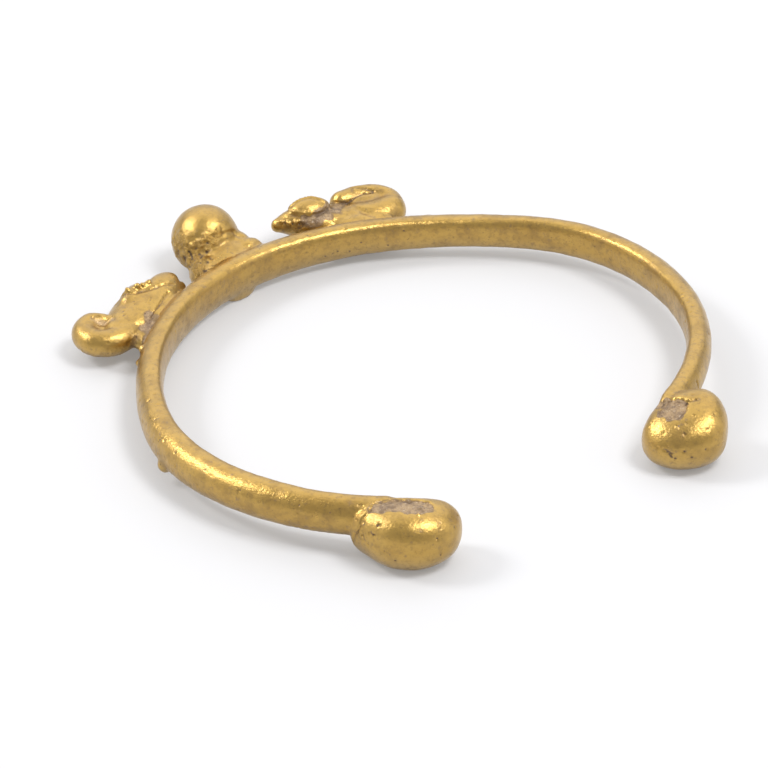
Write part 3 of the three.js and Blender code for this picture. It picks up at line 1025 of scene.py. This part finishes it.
KNOB_MARKS = (
    Mark(((-6.8, 3.4, 5.2), (-5.0, 4.05, 6.08), (-2.5, 4.1, 6.4), (-0.5, 4.14, 6.47), (1.2, 4.5, 5.84)),
         0.5, -0.14, Touch.DARK, 0.15),
    Mark(((4.0, 8.4, 4.6), (4.0, 7.0, 5.4), (3.4, 5.6, 5.0), (2.2, 4.9, 5.6)),
         1.7, 0.0, Touch.DARK, 0.2, rough=2.6, flat=0.2, ragged=0.3),
    Mark(((3.2, 5.4, 4.6), (1.4, 5.0, 5.4), (-0.6, 5.0, 5.8), (-2.2, 5.2, 6.0)),
         1.0, 0.0, Touch.DARK, 0.1, rough=1.8, flat=0.2, ragged=0.3),
    Mark(((3.6, 7.8, 3.0), (3.8, 6.3, 3.2), (3.6, 5.0, 3.6), (4.4, 3.4, 4.0), (6.0, 2.6, 4.2)),
         2.0, 0.0, Touch.DARK, 0.3, rough=2.8, flat=0.3, ragged=0.3),
    # The rough underside of the knob, darkened with painted shade.
    Mark(((-2.6, 7.2, 0.8),), 4.2, 0.0, Touch.DARK, 0.26, rough=1.3, flat=0.3, ragged=0.2),
    *pits(0.22, 0.2, (2.4, 2.9, 5.0), (4.0, 2.6, 4.8), (4.6, 3.2, 4.3), (5.6, 2.3, 4.1), (2.9, 6.1, 4.6),
          (3.2, 5.4, 4.0), (3.6, 6.6, 3.6), (3.9, 7.6, 4.2)),
)
NEAR_ROLL_MARKS = (
    Mark(((126.3, 1.9, 6.7), (127.4, 1.2, 6.8), (129.2, 0.9, 6.9), (132.0, 0.6, 6.8), (135.0, 0.7, 6.7),
          (137.0, 1.4, 6.65), (137.7, 2.6, 7.0), (135.4, 3.2, 7.1), (133.2, 3.1, 7.1), (131.0, 2.5, 7.0),
          (128.4, 2.5, 6.9)),
         0.5, -0.3, Touch.EARTH, 0.85, rough=0.4, closed=True, filled=True, ragged=0.16),
    Mark(((126.0, 2.1, 6.6), (126.4, 1.1, 6.7), (128.0, 0.55, 6.85), (131.0, 0.3, 6.95), (134.0, 0.7, 6.8)),
         0.24, -0.14, Touch.DARK, 0.6, ragged=0.1),
    Mark(((134.9, 3.7, 7.07),), 0.3, 0.25),
    Mark(((126.0, 2.2, 6.5), (125.0, 2.8, 5.8), (124.5, 3.0, 4.8), (123.5, 2.7, 3.5), (123.2, 2.5, 2.5)),
         0.22, -0.18, Touch.DARK, 0.36, rough=0.3, ragged=0.1),
    Mark(((125.6, 3.5, 5.2), (124.8, 3.3, 3.8)), 1.2, 0.0, Touch.DARK, 0.12, rough=0.7, flat=0.2, ragged=0.2),
    *pits(0.24, 0.3, (125.2, 3.1, 5.6), (126.5, 4.2, 5.03), (127.2, 4.5, 5.0), (125.2, 3.6, 4.2),
          (128.0, 4.2, 6.1)),
    *pits(0.18, 0.22, (129.0, 5.5, 3.6), (130.8, 5.9, 2.5), (141.5, 4.05, 5.2), (138.5, 5.8, 3.0),
          (137.8, 5.8, 5.1)),
)
FAR_ROLL_MARKS = (
    Mark(((-159.7, 0.6, 6.5), (-158.0, -0.2, 6.4), (-155.7, -0.4, 6.2), (-155.1, 0.3, 6.5), (-155.5, 1.1, 6.5),
          (-155.1, 1.8, 6.6), (-155.4, 2.8, 6.7), (-156.9, 3.0, 6.5), (-159.3, 3.1, 6.8), (-160.5, 2.4, 6.6),
          (-160.5, 1.3, 6.5)),
         0.35, -0.42, Touch.EARTH, 0.9, rough=1.0, closed=True, filled=True, ragged=0.2),
    Mark(((-155.4, 2.8, 6.7), (-154.3, 3.6, 7.0)), 0.22, -0.3, Touch.DARK, 0.75),
    Mark(((-144.2, 1.65, 5.8), (-144.6, 1.7, 4.9)), 0.2, -0.26, Touch.DARK, 0.5),
    *pits(0.24, 0.2, (-162.6, 3.6, 7.1), (-164.8, 3.9, 3.4), (-163.5, 5.2, 3.9), (-162.5, 5.9, 3.1),
          (-160.5, 7.1, 3.9), (-164.2, 4.3, 2.9)),
    Mark(((-165.2, 3.0, 3.8), (-165.0, 3.6, 3.7), (-164.5, 4.0, 3.0)), 0.24, -0.1, Touch.DARK, 0.8),
)
BAND_MARKS = (
    *pits(0.2, 0.14, (-23.0, -1.25, 2.3), (-24.8, -1.25, 2.5), (-26.0, -1.25, 2.65), (-28.8, -1.25, 2.5),
          (-31.8, -1.3, 3.35), (-38.0, -1.25, 2.6), (-41.8, -1.15, 4.45), (-19.0, -0.3, 5.3),
          (-21.2, 0.9, 5.0)),
    *pits(0.18, 0.13, (63.0, 0.7, 5.7), (70.2, 1.1, 5.7), (76.0, 1.7, 5.2), (81.8, 1.6, 5.5), (90.8, 1.5, 5.8),
          (99.8, 1.8, 5.5), (112.5, 1.65, 5.8), (78.0, 2.1, 2.6), (118.5, 1.8, 5.7)),
    Mark(((-22.0, -1.2, 2.2), (-28.0, -1.2, 2.4), (-34.0, -1.2, 2.4)),
         1.3, 0.0, Touch.DARK, 0.2, rough=0.35, flat=0.1, ragged=0.25),
    Mark(((66.0, 1.4, 4.6), (78.0, 1.9, 3.6), (90.0, 1.9, 3.2)),
         1.7, 0.0, Touch.DARK, 0.14, rough=0.35, flat=0.1, ragged=0.25),
    Mark(((110.0, 1.9, 2.8), (118.0, 1.9, 2.8), (122.0, 2.0, 2.8)),
         1.6, 0.0, Touch.DARK, 0.3, rough=0.5, flat=0.1, ragged=0.25),
    Mark(((41.8, 1.7, 3.2),), 0.7, 0.4),
)


@dataclass
class Casting:
    """The whole bracelet in one cast piece, with its sizes in millimetres."""

    ring: Ring
    voxel: float = 0.165
    fairing_rounds: int = 10
    fairing_share: float = 0.5
    hollow_rounds: int = 6
    triangles: int = 190_000
    path_steps: int = 6
    fill_depth: float = 1.3
    ragged_size: float = 1.3
    knob: Lump = Lump(-2.58, 7.156, 4.4, 4.0, 4.0, 4.0)
    knob_sides: int = 72
    knob_layers: int = 48
    knob_lower_depth: float = 4.15
    knob_lower_fullness: float = 0.86
    neck: tuple[Station, ...] = limb_stations(
        (-2.4, 6.2, 3.7, 2.9, 2.9), (-2.4, 4.2, 3.3, 3.1, 2.5), (-2.3, 2.2, 3.2, 3.6, 2.2),
        (-2.2, 0.9, 3.1, 3.9, 1.9),
    )
    neck_end_reach: float = 0.4
    left_body: tuple[Station, ...] = limb_stations(
        (-17.4, 5.6, 3.65, 0.85, 0.9), (-19.5, 5.5, 3.65, 1.45, 1.45), (-22.5, 5.1, 3.6, 2.1, 1.9),
        (-26.0, 4.7, 3.5, 2.4, 1.9), (-29.5, 4.4, 3.1, 2.3, 1.6), (-34.0, 4.5, 3.0, 2.2, 1.8),
        (-38.2, 4.9, 3.0, 2.1, 1.9), (-40.6, 5.7, 3.0, 1.9, 1.9),
    )
    left_tail: tuple[Station, ...] = limb_stations(
        (-41.3, 6.2, 3.0, 1.45, 1.8), (-40.6, 7.5, 3.05, 1.55, 1.8), (-38.2, 8.4, 3.2, 1.5, 1.8),
        (-34.8, 8.4, 3.35, 1.45, 1.7), (-31.7, 7.8, 3.4, 1.4, 1.6),
    )
    right_body: tuple[Station, ...] = limb_stations(
        (11.4, 3.3, 3.2, 0.7, 0.8), (13.4, 3.5, 3.5, 1.5, 1.4), (16.2, 3.9, 3.6, 2.2, 1.8),
        (20.0, 4.2, 3.5, 3.0, 1.8), (23.8, 4.6, 3.3, 3.4, 1.8), (27.6, 5.0, 3.1, 3.1, 1.8),
        (31.0, 5.5, 3.0, 2.1, 1.7),
    )
    right_tail: tuple[Station, ...] = limb_stations(
        (31.4, 4.6, 3.0, 1.7, 1.6), (34.4, 5.8, 2.95, 1.65, 1.6), (35.2, 7.9, 2.95, 1.6, 1.6),
        (33.1, 9.4, 2.95, 1.6, 1.6), (30.3, 9.2, 3.0, 1.5, 1.6), (29.4, 7.9, 3.1, 1.15, 1.35),
    )
    lumps: tuple[Lump, ...] = lump_set(
        (-7.2, 2.3, 4.1, 1.7, 1.4, 1.35), (-6.2, 4.1, 4.3, 1.7, 1.9, 1.3), (3.6, 3.0, 2.9, 2.1, 2.0, 2.1),
        (1.2, 5.0, 3.0, 1.8, 2.2, 2.1), (-24.2, 5.5, 4.9, 2.6, 1.7, 1.35), (-29.0, 6.0, 2.6, 3.0, 1.6, 1.7),
        (-33.6, 2.7, 3.1, 4.4, 1.7, 1.5), (-26.2, 2.7, 2.5, 2.2, 1.6, 1.4), (-36.4, 6.9, 3.0, 3.0, 1.5, 1.75),
        (-47.6, 1.4, 3.9, 1.3, 0.8, 0.9), (15.8, 4.2, 4.5, 2.6, 1.7, 1.2), (21.6, 6.1, 4.3, 2.6, 1.4, 1.25),
        (32.2, 7.8, 2.5, 1.3, 1.3, 1.4), (29.6, 2.6, 2.6, 2.6, 1.4, 1.3), (-0.8, -0.1, 0.8, 2.3, 1.05, 0.95),
        (77.5, 1.6, 2.3, 1.0, 0.8, 0.9), (41.8, 1.35, 3.2, 0.9, 0.5, 0.8),
    )
    near_outline: tuple[tuple[float, float], ...] = (
        (-6.3, -0.4), (-5.5, 0.6), (-4.2, 2.1), (-2.1, 3.6), (0.6, 4.1), (3.2, 3.5), (5.1, 2.0),
        (6.05, 0.0), (6.0, -2.1), (4.9, -3.5), (1.8, -4.0), (-2.0, -4.0), (-4.5, -3.6), (-5.9, -2.2),
    )
    far_outline: tuple[tuple[float, float], ...] = (
        (4.85, 0.2), (4.2, 2.5), (2.4, 4.1), (0.0, 4.65), (-2.3, 4.3), (-4.2, 3.0), (-4.95, 1.1),
        (-4.55, -0.7), (-3.6, -2.3), (-2.2, -3.7), (0.0, -4.5), (2.5, -4.55), (4.0, -3.3), (4.75, -1.4),
    )
    marks: tuple[Mark, ...] = (
        BAND_MARKS + KNOB_MARKS + LEFT_ANIMAL_MARKS + RIGHT_ANIMAL_MARKS + NEAR_ROLL_MARKS + FAR_ROLL_MARKS
    )
    skin: Skin = field(default_factory=Skin)

    def shapes(self, metal: Material) -> list[Shape]:
        """Build every form that the casting joins.

        Args:
            metal: The material for the forms that a tree makes.

        Returns:
            The closed shapes, overlapping where they join.
        """
        ring = self.ring
        knob = Bead(
            ring, self.knob, self.knob_sides, self.knob_layers, self.knob_lower_depth, self.knob_lower_fullness
        )
        limbs = [Limb(ring, self.neck, end_reach=self.neck_end_reach)]
        for rows in (self.left_body, self.left_tail, self.right_body, self.right_tail):
            limbs.append(Limb(ring, rows))
        rolls = [
            Roll(ring, turn=133.12, out=2.265, tall=7.2, outline=self.near_outline),
            Roll(ring, turn=-156.56, out=2.976, tall=7.1, outline=self.far_outline,
                 slope_along=0.15, slope_across=-0.22),
        ]
        parts = [knob, *limbs, *rolls, *(Bead(ring, lump) for lump in self.lumps)]
        return [Band(ring).build(metal), Grains(ring).build(metal), *(part.build() for part in parts)]

    def fuse(self, shapes: list[Shape]) -> Object:
        """Melt the forms into one skin with soft fillets.

        Args:
            shapes: The closed shapes.

        Returns:
            One object whose mesh is in millimetres.
        """
        piece = new_piece("casting", Shape.joined(shapes).to_mesh("casting"))
        melt = piece.modifiers.new("Melt", "REMESH")
        melt.mode = "VOXEL"
        melt.voxel_size = self.voxel
        melt.use_smooth_shade = True
        mesh = plain_mesh(piece)
        points, edges = mesh_points(mesh), mesh_edges(mesh)
        for _ in range(self.fairing_rounds):
            points += self.fairing_share * (neighbour_mean(points, edges) - points)
        points[:, 2] = np.maximum(points[:, 2], self.ring.table_wear)
        set_points(mesh, points)
        return piece

    def stroke(self, mark: Mark, points: np.ndarray) -> tuple[np.ndarray, np.ndarray]:
        """Find which points a mark reaches and how strongly.

        Args:
            mark: The mark.
            points: Points of the casting in millimetres.

        Returns:
            The numbers of the reached points, and their share from nought to one.
        """
        places = [self.ring.beside(*place) for place in mark.places]
        if len(places) > 2:
            spans = len(places) if mark.closed else len(places) - 1
            count = spans * self.path_steps
            rows = np.array(places)
            steps = range(count + (not mark.closed))
            places = [curve_point(rows, index / count, mark.closed) for index in steps]
        line = []
        for place in places:
            far = ((points - place) ** 2).sum(1)
            line.append(points[int(far.argmin())])
        if mark.closed:
            line.append(line[0])
        path = np.array(line)
        margin = mark.width * (1.0 + mark.ragged) + (self.fill_depth if mark.filled else 0.0)
        low, high = path.min(0) - margin, path.max(0) + margin
        near = np.flatnonzero(((points > low) & (points < high)).all(1))
        spots = points[near]
        distance = np.full(len(near), np.inf)
        if len(path) == 1:
            distance = np.linalg.norm(spots - path[0], axis=1)
        for a, b in zip(path[:-1], path[1:]):
            way = b - a
            length = max(float(way @ way), SHORTEST_SPAN**2)
            share = np.clip((spots - a) @ way / length, 0.0, 1.0)
            distance = np.minimum(distance, np.linalg.norm(spots - a - share[:, None] * way, axis=1))
        if mark.filled:
            level = np.abs(spots[:, 2] - path[:, 2].mean()) < self.fill_depth
            distance[inside_loop(spots, path) & level] = 0.0
        reach = (distance / mark.width - mark.flat) / (1.0 - mark.flat)
        if mark.ragged:
            reach += mark.ragged * wobble(spots, self.ragged_size)
        return near, 1.0 - soft_step(reach)

    def carve(self, piece: Object) -> None:
        """Press the marks into the surface and note where it is rough.

        Args:
            piece: The casting in millimetres.
        """
        mesh = piece.data
        points, normals = mesh_points(mesh), mesh_normals(mesh)
        rough = np.zeros(len(points))
        shift = np.zeros(len(points))
        for mark in self.marks:
            near, share = self.stroke(mark, points)
            shift[near] += mark.height * share
            rough[near] = np.maximum(rough[near], mark.rough * share)
        set_points(mesh, points + normals * shift[:, None])
        store(mesh, "rough", rough)

    def thin(self, piece: Object) -> None:
        """Bring the mesh down to the number of triangles that the piece may have.

        Args:
            piece: The casting.
        """
        fewer = piece.modifiers.new("Fewer", "DECIMATE")
        fewer.ratio = min(1.0, self.triangles / triangle_count(piece.data))
        plain_mesh(piece)

    def paint(self, piece: Object) -> None:
        """Store on the mesh where it is dark, earthy, pale, rough or hollow, and how the band runs.

        Args:
            piece: The casting in millimetres.
        """
        mesh = piece.data
        points, normals, edges = mesh_points(mesh), mesh_normals(mesh), mesh_edges(mesh)
        layers = {touch: np.zeros(len(points)) for touch in Touch}
        rough = np.zeros(len(points))
        for mark in self.marks:
            near, share = self.stroke(mark, points)
            layer = layers[mark.touch]
            layer[near] = np.maximum(layer[near], mark.amount * share)
            rough[near] = np.maximum(rough[near], mark.rough * share)
        hollow = ((neighbour_mean(points, edges) - points) * normals).sum(1)[:, None]
        for _ in range(self.hollow_rounds):
            hollow = 0.5 * hollow + 0.5 * neighbour_mean(hollow, edges)
        columns = {
            "dark": layers[Touch.DARK],
            "earth": layers[Touch.EARTH],
            "pale": layers[Touch.PALE],
            "rough": rough,
            "hollow": hollow[:, 0],
            "flow": self.ring.flow(points),
        }
        for name, values in columns.items():
            store(mesh, name, values)

    def settle(self, piece: Object) -> None:
        """Put the casting where the CAD node stands, in metres.

        Args:
            piece: The casting in millimetres.
        """
        points = mesh_points(piece.data)
        points[:, 2] = np.maximum(points[:, 2], self.ring.table_wear)
        points -= np.array([self.ring.middle_x, self.ring.middle_y, self.ring.table_wear])
        set_points(piece.data, points * MM)

    def build(self, metal: Material) -> Object:
        """Build and dress the casting.

        Args:
            metal: Its material.

        Returns:
            The finished object.
        """
        piece = self.fuse(self.shapes(metal))
        self.carve(piece)
        self.skin.tree().run(piece, {"Seed": SEED, "Metal": metal})
        self.thin(piece)
        self.paint(piece)
        self.settle(piece)
        mesh = piece.data
        mesh.materials.clear()
        mesh.materials.append(metal)
        mesh.polygons.foreach_set("material_index", np.zeros(len(mesh.polygons), np.int32))
        mesh.polygons.foreach_set("use_smooth", np.ones(len(mesh.polygons), bool))
        mesh.update()
        return piece


@dataclass(frozen=True)
class Patches:
    """Uneven patches of noise: their size in millimetres, their fineness and how much they count.

    They begin and are full at two heights of the noise.
    """

    size: float
    detail: float
    share: float = 1.0
    begin: float = 0.0
    full: float = 1.0


@dataclass(frozen=True)
class WornBrass:
    """Old cast brass, rubbed bright on its ridges, with shade painted brown into its hollows and earth left in
    the rolls.

    A span holds the reading at which something begins to show and the one at which it is full.
    """

    gold: Colour = (0.56, 0.36, 0.092)
    deep: Colour = (0.44, 0.262, 0.06)
    # Paler olive painted onto the lowest parts as a reflection of the pale floor.
    floor_reflection_olive: Colour = (0.48, 0.36, 0.19)
    # Brown of stains, mottling, specks and the edges of the earth, and also of the painted shade.
    brown_and_shade: Colour = (0.15, 0.092, 0.046)
    earth: Colour = (0.15, 0.095, 0.065)
    pale: Colour = (0.46, 0.315, 0.17)
    # Pale grit in the soil, whose specks also stand in for glints (painted highlight).
    grit_and_glint: Colour = (0.66, 0.56, 0.44)
    roughness: float = 0.31
    wax: float = 0.4
    wax_roughness: float = 0.2
    tones: Patches = Patches(4.5, 4.0)
    stains: Patches = Patches(2.6, 6.0, 0.34, 0.44, 0.68)
    mottle: Patches = Patches(0.6, 6.0, 0.38, 0.46, 0.72)
    specks: Patches = Patches(0.33, 3.0, 0.6, 0.62, 0.72)
    soil_tones: Patches = Patches(0.9, 8.0, 1.0, 0.34, 0.62)
    soil_lines: Patches = Patches(0.42, 6.0, 0.65, 0.5, 0.64)
    # Specks of pale grit in the soil that also serve as painted glints.
    soil_grit_and_glints: Patches = Patches(0.24, 2.0, 0.7, 0.6, 0.7)
    clouds: Patches = Patches(0.9, 6.0, 1.5)
    shade: Patches = Patches(0.7, 5.0, 1.7)
    shine: Patches = Patches(1.1, 5.0, 0.22)
    brushing: Patches = Patches(0.28, 3.0, 0.3)
    skin: Patches = Patches(0.3, 5.0, 0.8)
    grain: Patches = Patches(0.16, 4.0, 1.6)
    streak_stretch: Place = (0.22, 1.0, 1.0)
    crevice_span: Span = (0.002, 0.016)
    # How much shade is painted into concave hollows, more where the casting is rough.
    crevice_shade_share: float = 0.42
    rough_crevice_shade_share: float = 0.35
    ridge_span: Span = (0.001, 0.008)
    ridge_share: float = 0.35
    # Painted floor reflection: it begins 3.6 mm above the table and is full below 0.4 mm (heights negated, in
    # metres).
    floor_reflection_span: Span = (-0.0036, -0.0004)
    floor_reflection_share: float = 0.75
    least_shade: float = 0.1
    dark_span: Span = (0.12, 0.85)
    earth_span: Span = (0.85, 1.5)
    earth_share: float = 0.9
    pale_span: Span = (0.95, 1.6)
    pale_share: float = 0.8
    rim_share: float = 2.6
    dull_share: float = 0.6
    stain_roughness: float = 0.08
    dirt_roughness: float = 0.25
    relief: float = 0.00011
    relief_strength: float = 0.62

    def material(self) -> Material:
        """Build the material.

        Returns:
            The material for the casting.
        """
        material = bpy.data.materials.new("worn_brass")
        material.use_nodes = True
        kit = Tree(material.node_tree)
        kit.tree.nodes.clear()
        place = kit.put("ShaderNodeTexCoord").outputs["Object"]

        def reading(name: str, output: str = "Fac") -> Socket:
            """Return an attribute of the mesh."""
            return kit.put("ShaderNodeAttribute", attribute_name=name).outputs[output]

        def noise(
            patches: Patches, vector: Socket = place, unit: float = 1000.0
        ) -> Socket:
            """Return noise of the patches' size over a vector whose unit holds that many millimetres."""
            return kit.noise(unit / patches.size, patches.detail, Vector=vector)

        def ramp(value: Socket, span: Span) -> Socket:
            """Return a value spread smoothly over a span, from nought to one."""
            inputs = {"Value": value, "From Min": span[0], "From Max": span[1]}
            return kit.put("ShaderNodeMapRange", inputs, interpolation_type="SMOOTHSTEP").outputs[0]

        def spread(patches: Patches) -> Socket:
            """Return where the patches lie, from nought to one."""
            return ramp(noise(patches), (patches.begin, patches.full))

        def mix(share: Socket, first: object, second: object) -> Socket:
            """Return one colour blended into another."""
            node = kit.put("ShaderNodeMix", {0: share}, data_type="RGBA")
            for index, value in zip(COLOUR_INPUTS, (first, second)):
                if isinstance(value, Socket):
                    kit.tree.links.new(value, node.inputs[index])
                else:
                    node.inputs[index].default_value = (*value, 1.0)
            return node.outputs[COLOUR_OUTPUT]

        streaks = kit.vector("MULTIPLY", reading("flow", "Vector"), self.streak_stretch)
        rough, hollow = reading("rough"), reading("hollow")
        crevice = ramp(hollow, self.crevice_span)
        ridge = ramp(kit.times(hollow, -1.0), self.ridge_span)
        height = kit.put("ShaderNodeSeparateXYZ", {0: place}).outputs[2]
        # Painted reflection of the floor: paler olive on the lowest few millimetres.
        painted_floor_reflection = ramp(kit.times(height, -1.0), self.floor_reflection_span)
        # Painted shade: darker in concave hollows, more so where rough, added to the dark marks (painted shade
        # in grooves, slits and pits, dark dirt on rough patches).
        painted_crevice_shade = kit.times(crevice, kit.plus(self.crevice_shade_share, kit.times(rough, self.rough_crevice_shade_share)))
        shade = kit.plus(self.least_shade, kit.times(noise(self.shade), self.shade.share))
        dark = ramp(kit.times(kit.plus(reading("dark"), painted_crevice_shade), shade), self.dark_span)
        cloud = kit.times(noise(self.clouds), self.clouds.share)
        earth = kit.times(ramp(kit.plus(reading("earth"), cloud), self.earth_span), self.earth_share)
        pale = kit.times(ramp(kit.plus(reading("pale"), cloud), self.pale_span), self.pale_share)
        stain = spread(self.stains)
        soil = mix(spread(self.soil_tones), self.earth, self.pale)
        # Brown veins, then pale grit specks that also stand in for glints, a painted highlight.
        for patches, colour in ((self.soil_lines, self.brown_and_shade), (self.soil_grit_and_glints, self.grit_and_glint)):
            soil = mix(kit.times(spread(patches), patches.share), soil, colour)
        body = mix(noise(self.tones), self.gold, self.deep)
        for share, colour in (
            (kit.times(stain, self.stains.share), self.brown_and_shade),
            (kit.times(painted_floor_reflection, self.floor_reflection_share), self.floor_reflection_olive),
            (kit.times(spread(self.mottle), self.mottle.share), self.brown_and_shade),
            (kit.times(spread(self.specks), self.specks.share), self.brown_and_shade),
            (kit.times(ridge, self.ridge_share), self.gold),
            (earth, soil),
            (kit.times(earth, kit.minus(1.0, earth), self.rim_share), self.brown_and_shade),
            (pale, self.pale),
            # Painted shade and dark dirt, in brown.
            (dark, self.brown_and_shade),
        ):
            body = mix(share, body, colour)
        dull = kit.calc("MAXIMUM", kit.calc("MAXIMUM", earth, pale), dark)
        gloss = kit.plus(self.roughness, kit.times(kit.minus(noise(self.shine), 0.5), self.shine.share))
        gloss = kit.plus(gloss, kit.times(stain, self.stain_roughness))
        gloss = kit.plus(gloss, kit.times(dull, self.dirt_roughness))
        relief = kit.times(noise(self.brushing, streaks, unit=1.0), self.brushing.share)
        relief = kit.plus(relief, kit.times(noise(self.skin), self.skin.share))
        relief = kit.plus(relief, kit.times(noise(self.grain), rough, self.grain.share))
        bump = kit.put(
            "ShaderNodeBump", {"Height": relief, "Distance": self.relief, "Strength": self.relief_strength}
        )
        shader = kit.put(
            "ShaderNodeBsdfPrincipled",
            {
                "Base Color": body,
                "Metallic": kit.minus(1.0, kit.times(dull, self.dull_share)),
                "Roughness": gloss,
                "Normal": bump.outputs[0],
                "Coat Weight": self.wax,
                "Coat Roughness": self.wax_roughness,
                "Coat Normal": bump.outputs[0],
            },
        )
        end = kit.put("ShaderNodeOutputMaterial")
        kit.tree.links.new(shader.outputs[0], end.inputs[0])
        return material


@dataclass(frozen=True)
class PaleFloor:
    """The plain pale floor of the studio."""

    colour: Colour = (0.50, 0.50, 0.51)
    glow: float = 0.19
    roughness: float = 0.9

    def material(self) -> Material:
        """Build the material.

        Returns:
            The material for the floor.
        """
        material = bpy.data.materials.new("pale_floor")
        material.use_nodes = True
        shader = material.node_tree.nodes["Principled BSDF"]
        shader.inputs["Base Color"].default_value = (*self.colour, 1.0)
        shader.inputs["Roughness"].default_value = self.roughness
        shader.inputs["Emission Color"].default_value = (1.0, 1.0, 1.0, 1.0)
        shader.inputs["Emission Strength"].default_value = self.glow
        return material


@dataclass(frozen=True)
class SoftBox:
    """A large soft lamp that points at the bracelet: its place and size in metres, and its power."""

    name: str
    place: Place
    width: float
    depth: float
    power: float

    def build(self) -> Object:
        """Build the lamp.

        Returns:
            The lamp's object.
        """
        light = bpy.data.lights.new(self.name, "AREA")
        light.shape = "RECTANGLE"
        light.size, light.size_y = self.width, self.depth
        light.energy = self.power
        lamp = bpy.data.objects.new(self.name, light)
        lamp.location = self.place
        lamp.rotation_euler = (-Vector(self.place)).to_track_quat("-Z", "Y").to_euler()
        bpy.context.scene.collection.objects.link(lamp)
        return lamp


@dataclass
class Studio:
    """Floor, lamps, surroundings and the camera at the photograph's angle.

    Lengths are in metres, but the camera's target is in the ring's own millimetres.
    """

    ring: Ring
    elevation: float = 32.987
    azimuth: float = 135.424
    distance: float = 0.9
    focal_pixels: float = 7848.203
    image_width: float = 768.0
    sensor: float = 36.0
    target: Place = (3.96, -1.187, 3.0)
    clip_start: float = 0.05
    floor_half: float = 3.0
    surround: Colour = (0.56, 0.56, 0.57)
    surround_strength: float = 1.0
    lamps: tuple[SoftBox, ...] = (
        SoftBox("right_box", (-0.151, 0.336, 0.706), 0.30, 0.26, 3.5),
        SoftBox("left_box", (0.324, -0.503, 0.526), 0.22, 0.22, 2.8),
        SoftBox("back_sheet", (-0.50, -0.51, 0.72), 1.5, 1.2, 5.2),
        SoftBox("side_sheet", (0.80, -0.80, 0.42), 1.0, 0.8, 1.4),
        SoftBox("right_sheet", (-0.76, 0.74, 0.50), 1.0, 0.8, 1.8),
    )

    def camera(self) -> Object:
        """Build the camera.

        Returns:
            The camera's object.
        """
        lift, turn = math.radians(self.elevation), math.radians(self.azimuth)
        back = Vector((math.sin(turn) * math.cos(lift), -math.cos(turn) * math.cos(lift), math.sin(lift)))
        right = Vector((math.cos(turn), math.sin(turn), 0.0))
        up = back.cross(right)
        shift = Vector((self.ring.middle_x, self.ring.middle_y, self.ring.table_wear))
        centre = (Vector(self.target) - shift) * MM
        data = bpy.data.cameras.new("camera")
        data.sensor_width = self.sensor
        data.lens = self.focal_pixels / self.image_width * self.sensor
        data.clip_start = self.clip_start
        camera = bpy.data.objects.new("camera", data)
        turned = Matrix((right, up, back)).transposed().to_4x4()
        camera.matrix_world = Matrix.Translation(centre + back * self.distance) @ turned
        bpy.context.scene.collection.objects.link(camera)
        bpy.context.scene.camera = camera
        return camera

    def floor(self) -> Object:
        """Build the floor.

        Returns:
            The floor's object.
        """
        half = self.floor_half
        corners = np.array([(-half, -half, 0.0), (half, -half, 0.0), (half, half, 0.0), (-half, half, 0.0)])
        floor = new_piece("floor", Shape(corners, [(0, 1, 2, 3)]).to_mesh("floor"))
        floor.data.materials.append(PaleFloor().material())
        floor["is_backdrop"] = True
        return floor

    def surroundings(self) -> None:
        """Light the scene evenly from all round."""
        world = bpy.data.worlds.new("studio")
        world.use_nodes = True
        background = world.node_tree.nodes["Background"]
        background.inputs["Color"].default_value = (*self.surround, 1.0)
        background.inputs["Strength"].default_value = self.surround_strength
        bpy.context.scene.world = world

    def build(self) -> None:
        """Build the whole studio."""
        self.camera()
        self.floor()
        self.surroundings()
        for lamp in self.lamps:
            lamp.build()
        view = bpy.context.scene.view_settings
        view.view_transform = "Standard"
        view.look = "None"


def report(piece: Object) -> None:
    """Say what a finished piece measures.

    Args:
        piece: The finished object.
    """
    points = mesh_points(piece.data)
    size = (points.max(0) - points.min(0)) / MM
    log.info("%s: %d triangles, %.2f x %.2f x %.2f mm", piece.name, triangle_count(piece.data), *size)


def write_sizes() -> None:
    """Gather the box of the CAD and the box of the dressed object as plain lists of numbers."""
    boxes = {"cad": BOX_OF_THE_CAD, "visual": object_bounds()}
    plain = {name: [[float(value) for value in corner] for corner in box] for name, box in boxes.items()}


def main() -> None:
    """Build the studio and the bracelet, and tie the bracelet to the frame."""
    logging.basicConfig(level=logging.INFO, format="%(name)s: %(message)s")
    ring = Ring()
    Studio(ring).build()
    brass = WornBrass().material()
    casting = Casting(ring).build(brass)
    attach(casting, BODY)
    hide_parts(NODE)
    report(casting)
    write_sizes()


if __name__ == "__main__":
    main()
